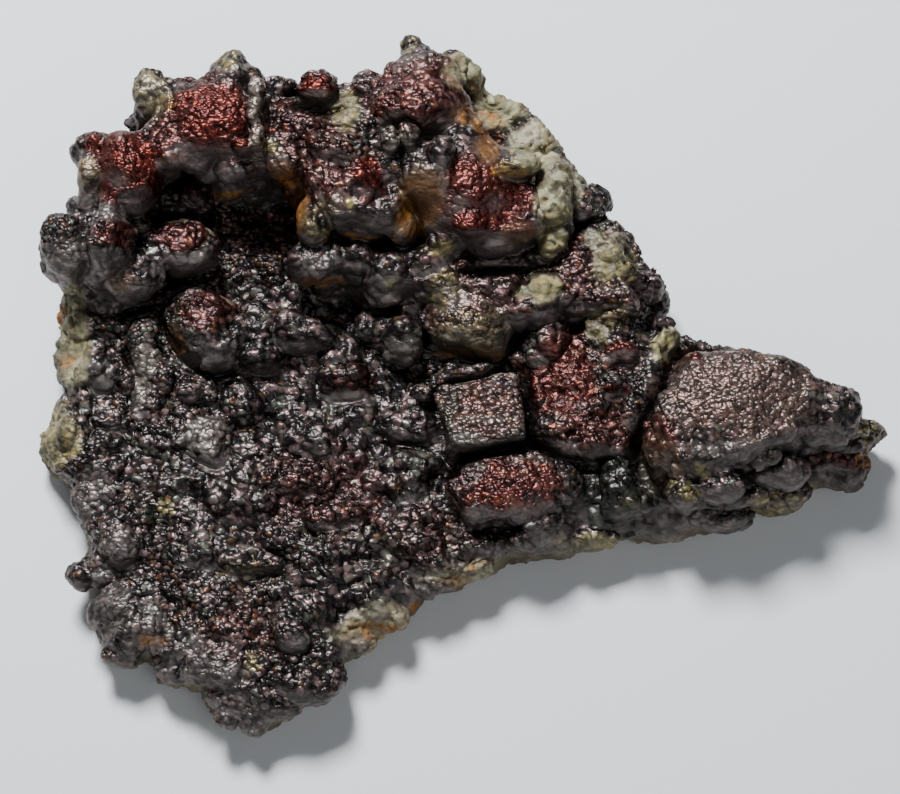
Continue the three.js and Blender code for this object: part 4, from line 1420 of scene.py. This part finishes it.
@dataclass
class Crust:
    """One region of the specimen's surface, closed where it meets its neighbours inside the mass."""

    name: str
    growth: Growth
    relief: Relief
    material: bpy.types.Material

    def depth(self, x: np.ndarray, y: np.ndarray) -> np.ndarray:
        """How far plan places lie inside the region.

        Args:
            x: Their x.
            y: Their y.

        Returns:
            The distance to the nearest line half way between this region's middle and another's.
        """
        middles = {name: VIEW.place(col, row, FLOOR_HEIGHT) for name, (col, row) in REGIONS.items()}
        own_x, own_y = middles.pop(self.name)
        depth = np.full(x.shape, np.inf)
        for other_x, other_y in middles.values():
            span = math.hypot(other_x - own_x, other_y - own_y)
            further = (x - other_x) ** 2 + (y - other_y) ** 2 - (x - own_x) ** 2 - (y - own_y) ** 2
            depth = np.minimum(depth, further / (2 * span))
        return depth

    def build(self) -> bpy.types.Object:
        """Mesh the region, raise its relief and dress it.

        Returns:
            The object, standing in for the node.
        """
        points, quads = self.growth.mesh(self.depth(self.growth.x, self.growth.y))
        moved, numbers = self.relief.carve(self.growth, points, quads)
        beyond = np.clip(-self.depth(points[:, 0], points[:, 1]) / SEAM, 0, 1)
        moved = moved - normals_of(moved, quads) * (SEAM_DIP * beyond)[:, None]
        moved[:, 2] = np.where(points[:, 2] < UNDERSIDE, 0.0, np.clip(moved[:, 2], 0.0, None))
        mesh = self._mesh(moved * MILLIMETRE, quads, numbers)
        made = bpy.data.objects.new(self.name, mesh)
        bpy.context.collection.objects.link(made)
        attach(made, "root")
        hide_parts(NODE)
        return made

    def _mesh(
        self, points: np.ndarray, quads: np.ndarray, numbers: dict[str, np.ndarray]
    ) -> bpy.types.Mesh:
        """A mesh with its numbers, and one face in place of the flat underside's many.

        Args:
            points: Rows of x, y, z in metres.
            quads: Rows of four point numbers.
            numbers: A number for each point, by attribute name.

        Returns:
            The mesh.
        """
        mesh = bpy.data.meshes.new(self.name)
        mesh.vertices.add(len(points))
        mesh.vertices.foreach_set("co", points.ravel().astype(np.float32))
        mesh.loops.add(quads.size)
        mesh.loops.foreach_set("vertex_index", quads.ravel().astype(np.int32))
        mesh.polygons.add(len(quads))
        mesh.polygons.foreach_set("loop_start", np.arange(0, quads.size, 4, dtype=np.int32))
        mesh.update(calc_edges=True)
        for name, values in numbers.items():
            held = mesh.attributes.new(name, "FLOAT", "POINT")
            held.data.foreach_set("value", values.astype(np.float32))
        mesh.materials.append(self.material)
        self._close_underside(mesh)
        mesh.shade_smooth()
        return mesh

    def _close_underside(self, mesh: bpy.types.Mesh) -> None:
        """Swap the faces that lie on the floor for single flat ones."""
        shape = bmesh.new()
        shape.from_mesh(mesh)
        flat = [face for face in shape.faces if all(vert.co.z < ON_FLOOR for vert in face.verts)]
        bmesh.ops.delete(shape, geom=flat, context="FACES")
        rim = [edge for edge in shape.edges if edge.is_boundary]
        bmesh.ops.holes_fill(shape, edges=rim, sides=0)
        shape.to_mesh(mesh)
        shape.free()


@dataclass(frozen=True)
class Studio:
    """The floor, the lights and the camera."""

    floor_size: float = 3.0
    floor_colour: str = "d9dadb"
    light_colour: tuple[float, float, float] = (0.93, 0.97, 1.0)
    floor_roughness: float = 0.9
    key_place: tuple[float, float, float] = (-0.18, 0.42, 0.62)
    key_power: float = 16.0
    key_size: float = 0.2
    fill_place: tuple[float, float, float] = (0.25, -0.6, 0.7)
    fill_power: float = 3.0
    fill_size: float = 0.9
    lit_place: tuple[float, float, float] = (0.0, 0.0, 0.015)
    sky_colour: tuple[float, float, float, float] = (0.86, 0.92, 1.0, 1.0)
    sky: float = 0.08
    sensor: float = 36.0

    def build(self) -> None:
        """Set them up."""
        bpy.ops.mesh.primitive_plane_add(size=self.floor_size)
        floor = bpy.context.object
        floor.name = "floor"
        finish = {"Base Color": linear(self.floor_colour), "Roughness": self.floor_roughness}
        floor.data.materials.append(Shader("floor").surface(finish))
        self._light("key", self.key_place, self.key_power, self.key_size)
        self._light("fill", self.fill_place, self.fill_power, self.fill_size)
        world = bpy.data.worlds.new("studio")
        world.use_nodes = True
        background = world.node_tree.nodes["Background"]
        background.inputs["Color"].default_value = self.sky_colour
        background.inputs["Strength"].default_value = self.sky
        bpy.context.scene.world = world
        self._camera()

    def _light(self, name: str, place: tuple[float, float, float], power: float, size: float) -> None:
        """Add a square light aimed at the specimen.

        Args:
            name: Its name.
            place: Where it is.
            power: Its power in watts.
            size: Its side.
        """
        data = bpy.data.lights.new(name, "AREA")
        data.energy = power
        data.color = self.light_colour
        data.size = size
        lamp = bpy.data.objects.new(name, data)
        lamp.location = place
        lamp.rotation_euler = aim(np.array(place), np.array(self.lit_place))
        bpy.context.collection.objects.link(lamp)

    def _camera(self) -> None:
        """Put the camera where the photograph was taken from."""
        data = bpy.data.cameras.new("camera")
        data.sensor_width = self.sensor
        data.lens = data.sensor_width * VIEW.distance / (VIEW.picture_width * VIEW.mm_per_point)
        camera = bpy.data.objects.new("camera", data)
        centre = np.array([-VIEW.origin[0], -VIEW.origin[1], 0.0])
        place = (VIEW.eye + centre) * MILLIMETRE
        camera.location = tuple(place)
        camera.rotation_euler = (math.pi / 2 - VIEW.elevation, 0.0, 0.0)
        bpy.context.collection.objects.link(camera)
        bpy.context.scene.camera = camera


def aim(place: np.ndarray, target: np.ndarray) -> tuple[float, float, float]:
    """The turn that points a light from one place at another.

    Args:
        place: Where the light is.
        target: Where it points.

    Returns:
        The turns about x, y, z.
    """
    away = target - place
    flat = math.hypot(away[0], away[1])
    return (math.pi / 2 + math.atan2(away[2], flat), 0.0, math.atan2(away[1], away[0]) - math.pi / 2)


def main() -> None:
    """Build the specimen region by region, then the studio."""
    logging.basicConfig(level=logging.INFO, format="%(message)s")
    growth = Growth()
    LOG.info("grown on %s places", "x".join(map(str, growth.field.shape)))
    material = CrustFinish().material()
    for name in REGIONS:
        made = Crust(name, growth, Relief(), material).build()
        made.data.calc_loop_triangles()
        LOG.info("%s: %d triangles", name, len(made.data.loop_triangles))
    Studio().build()


if __name__ == "__main__":
    main()
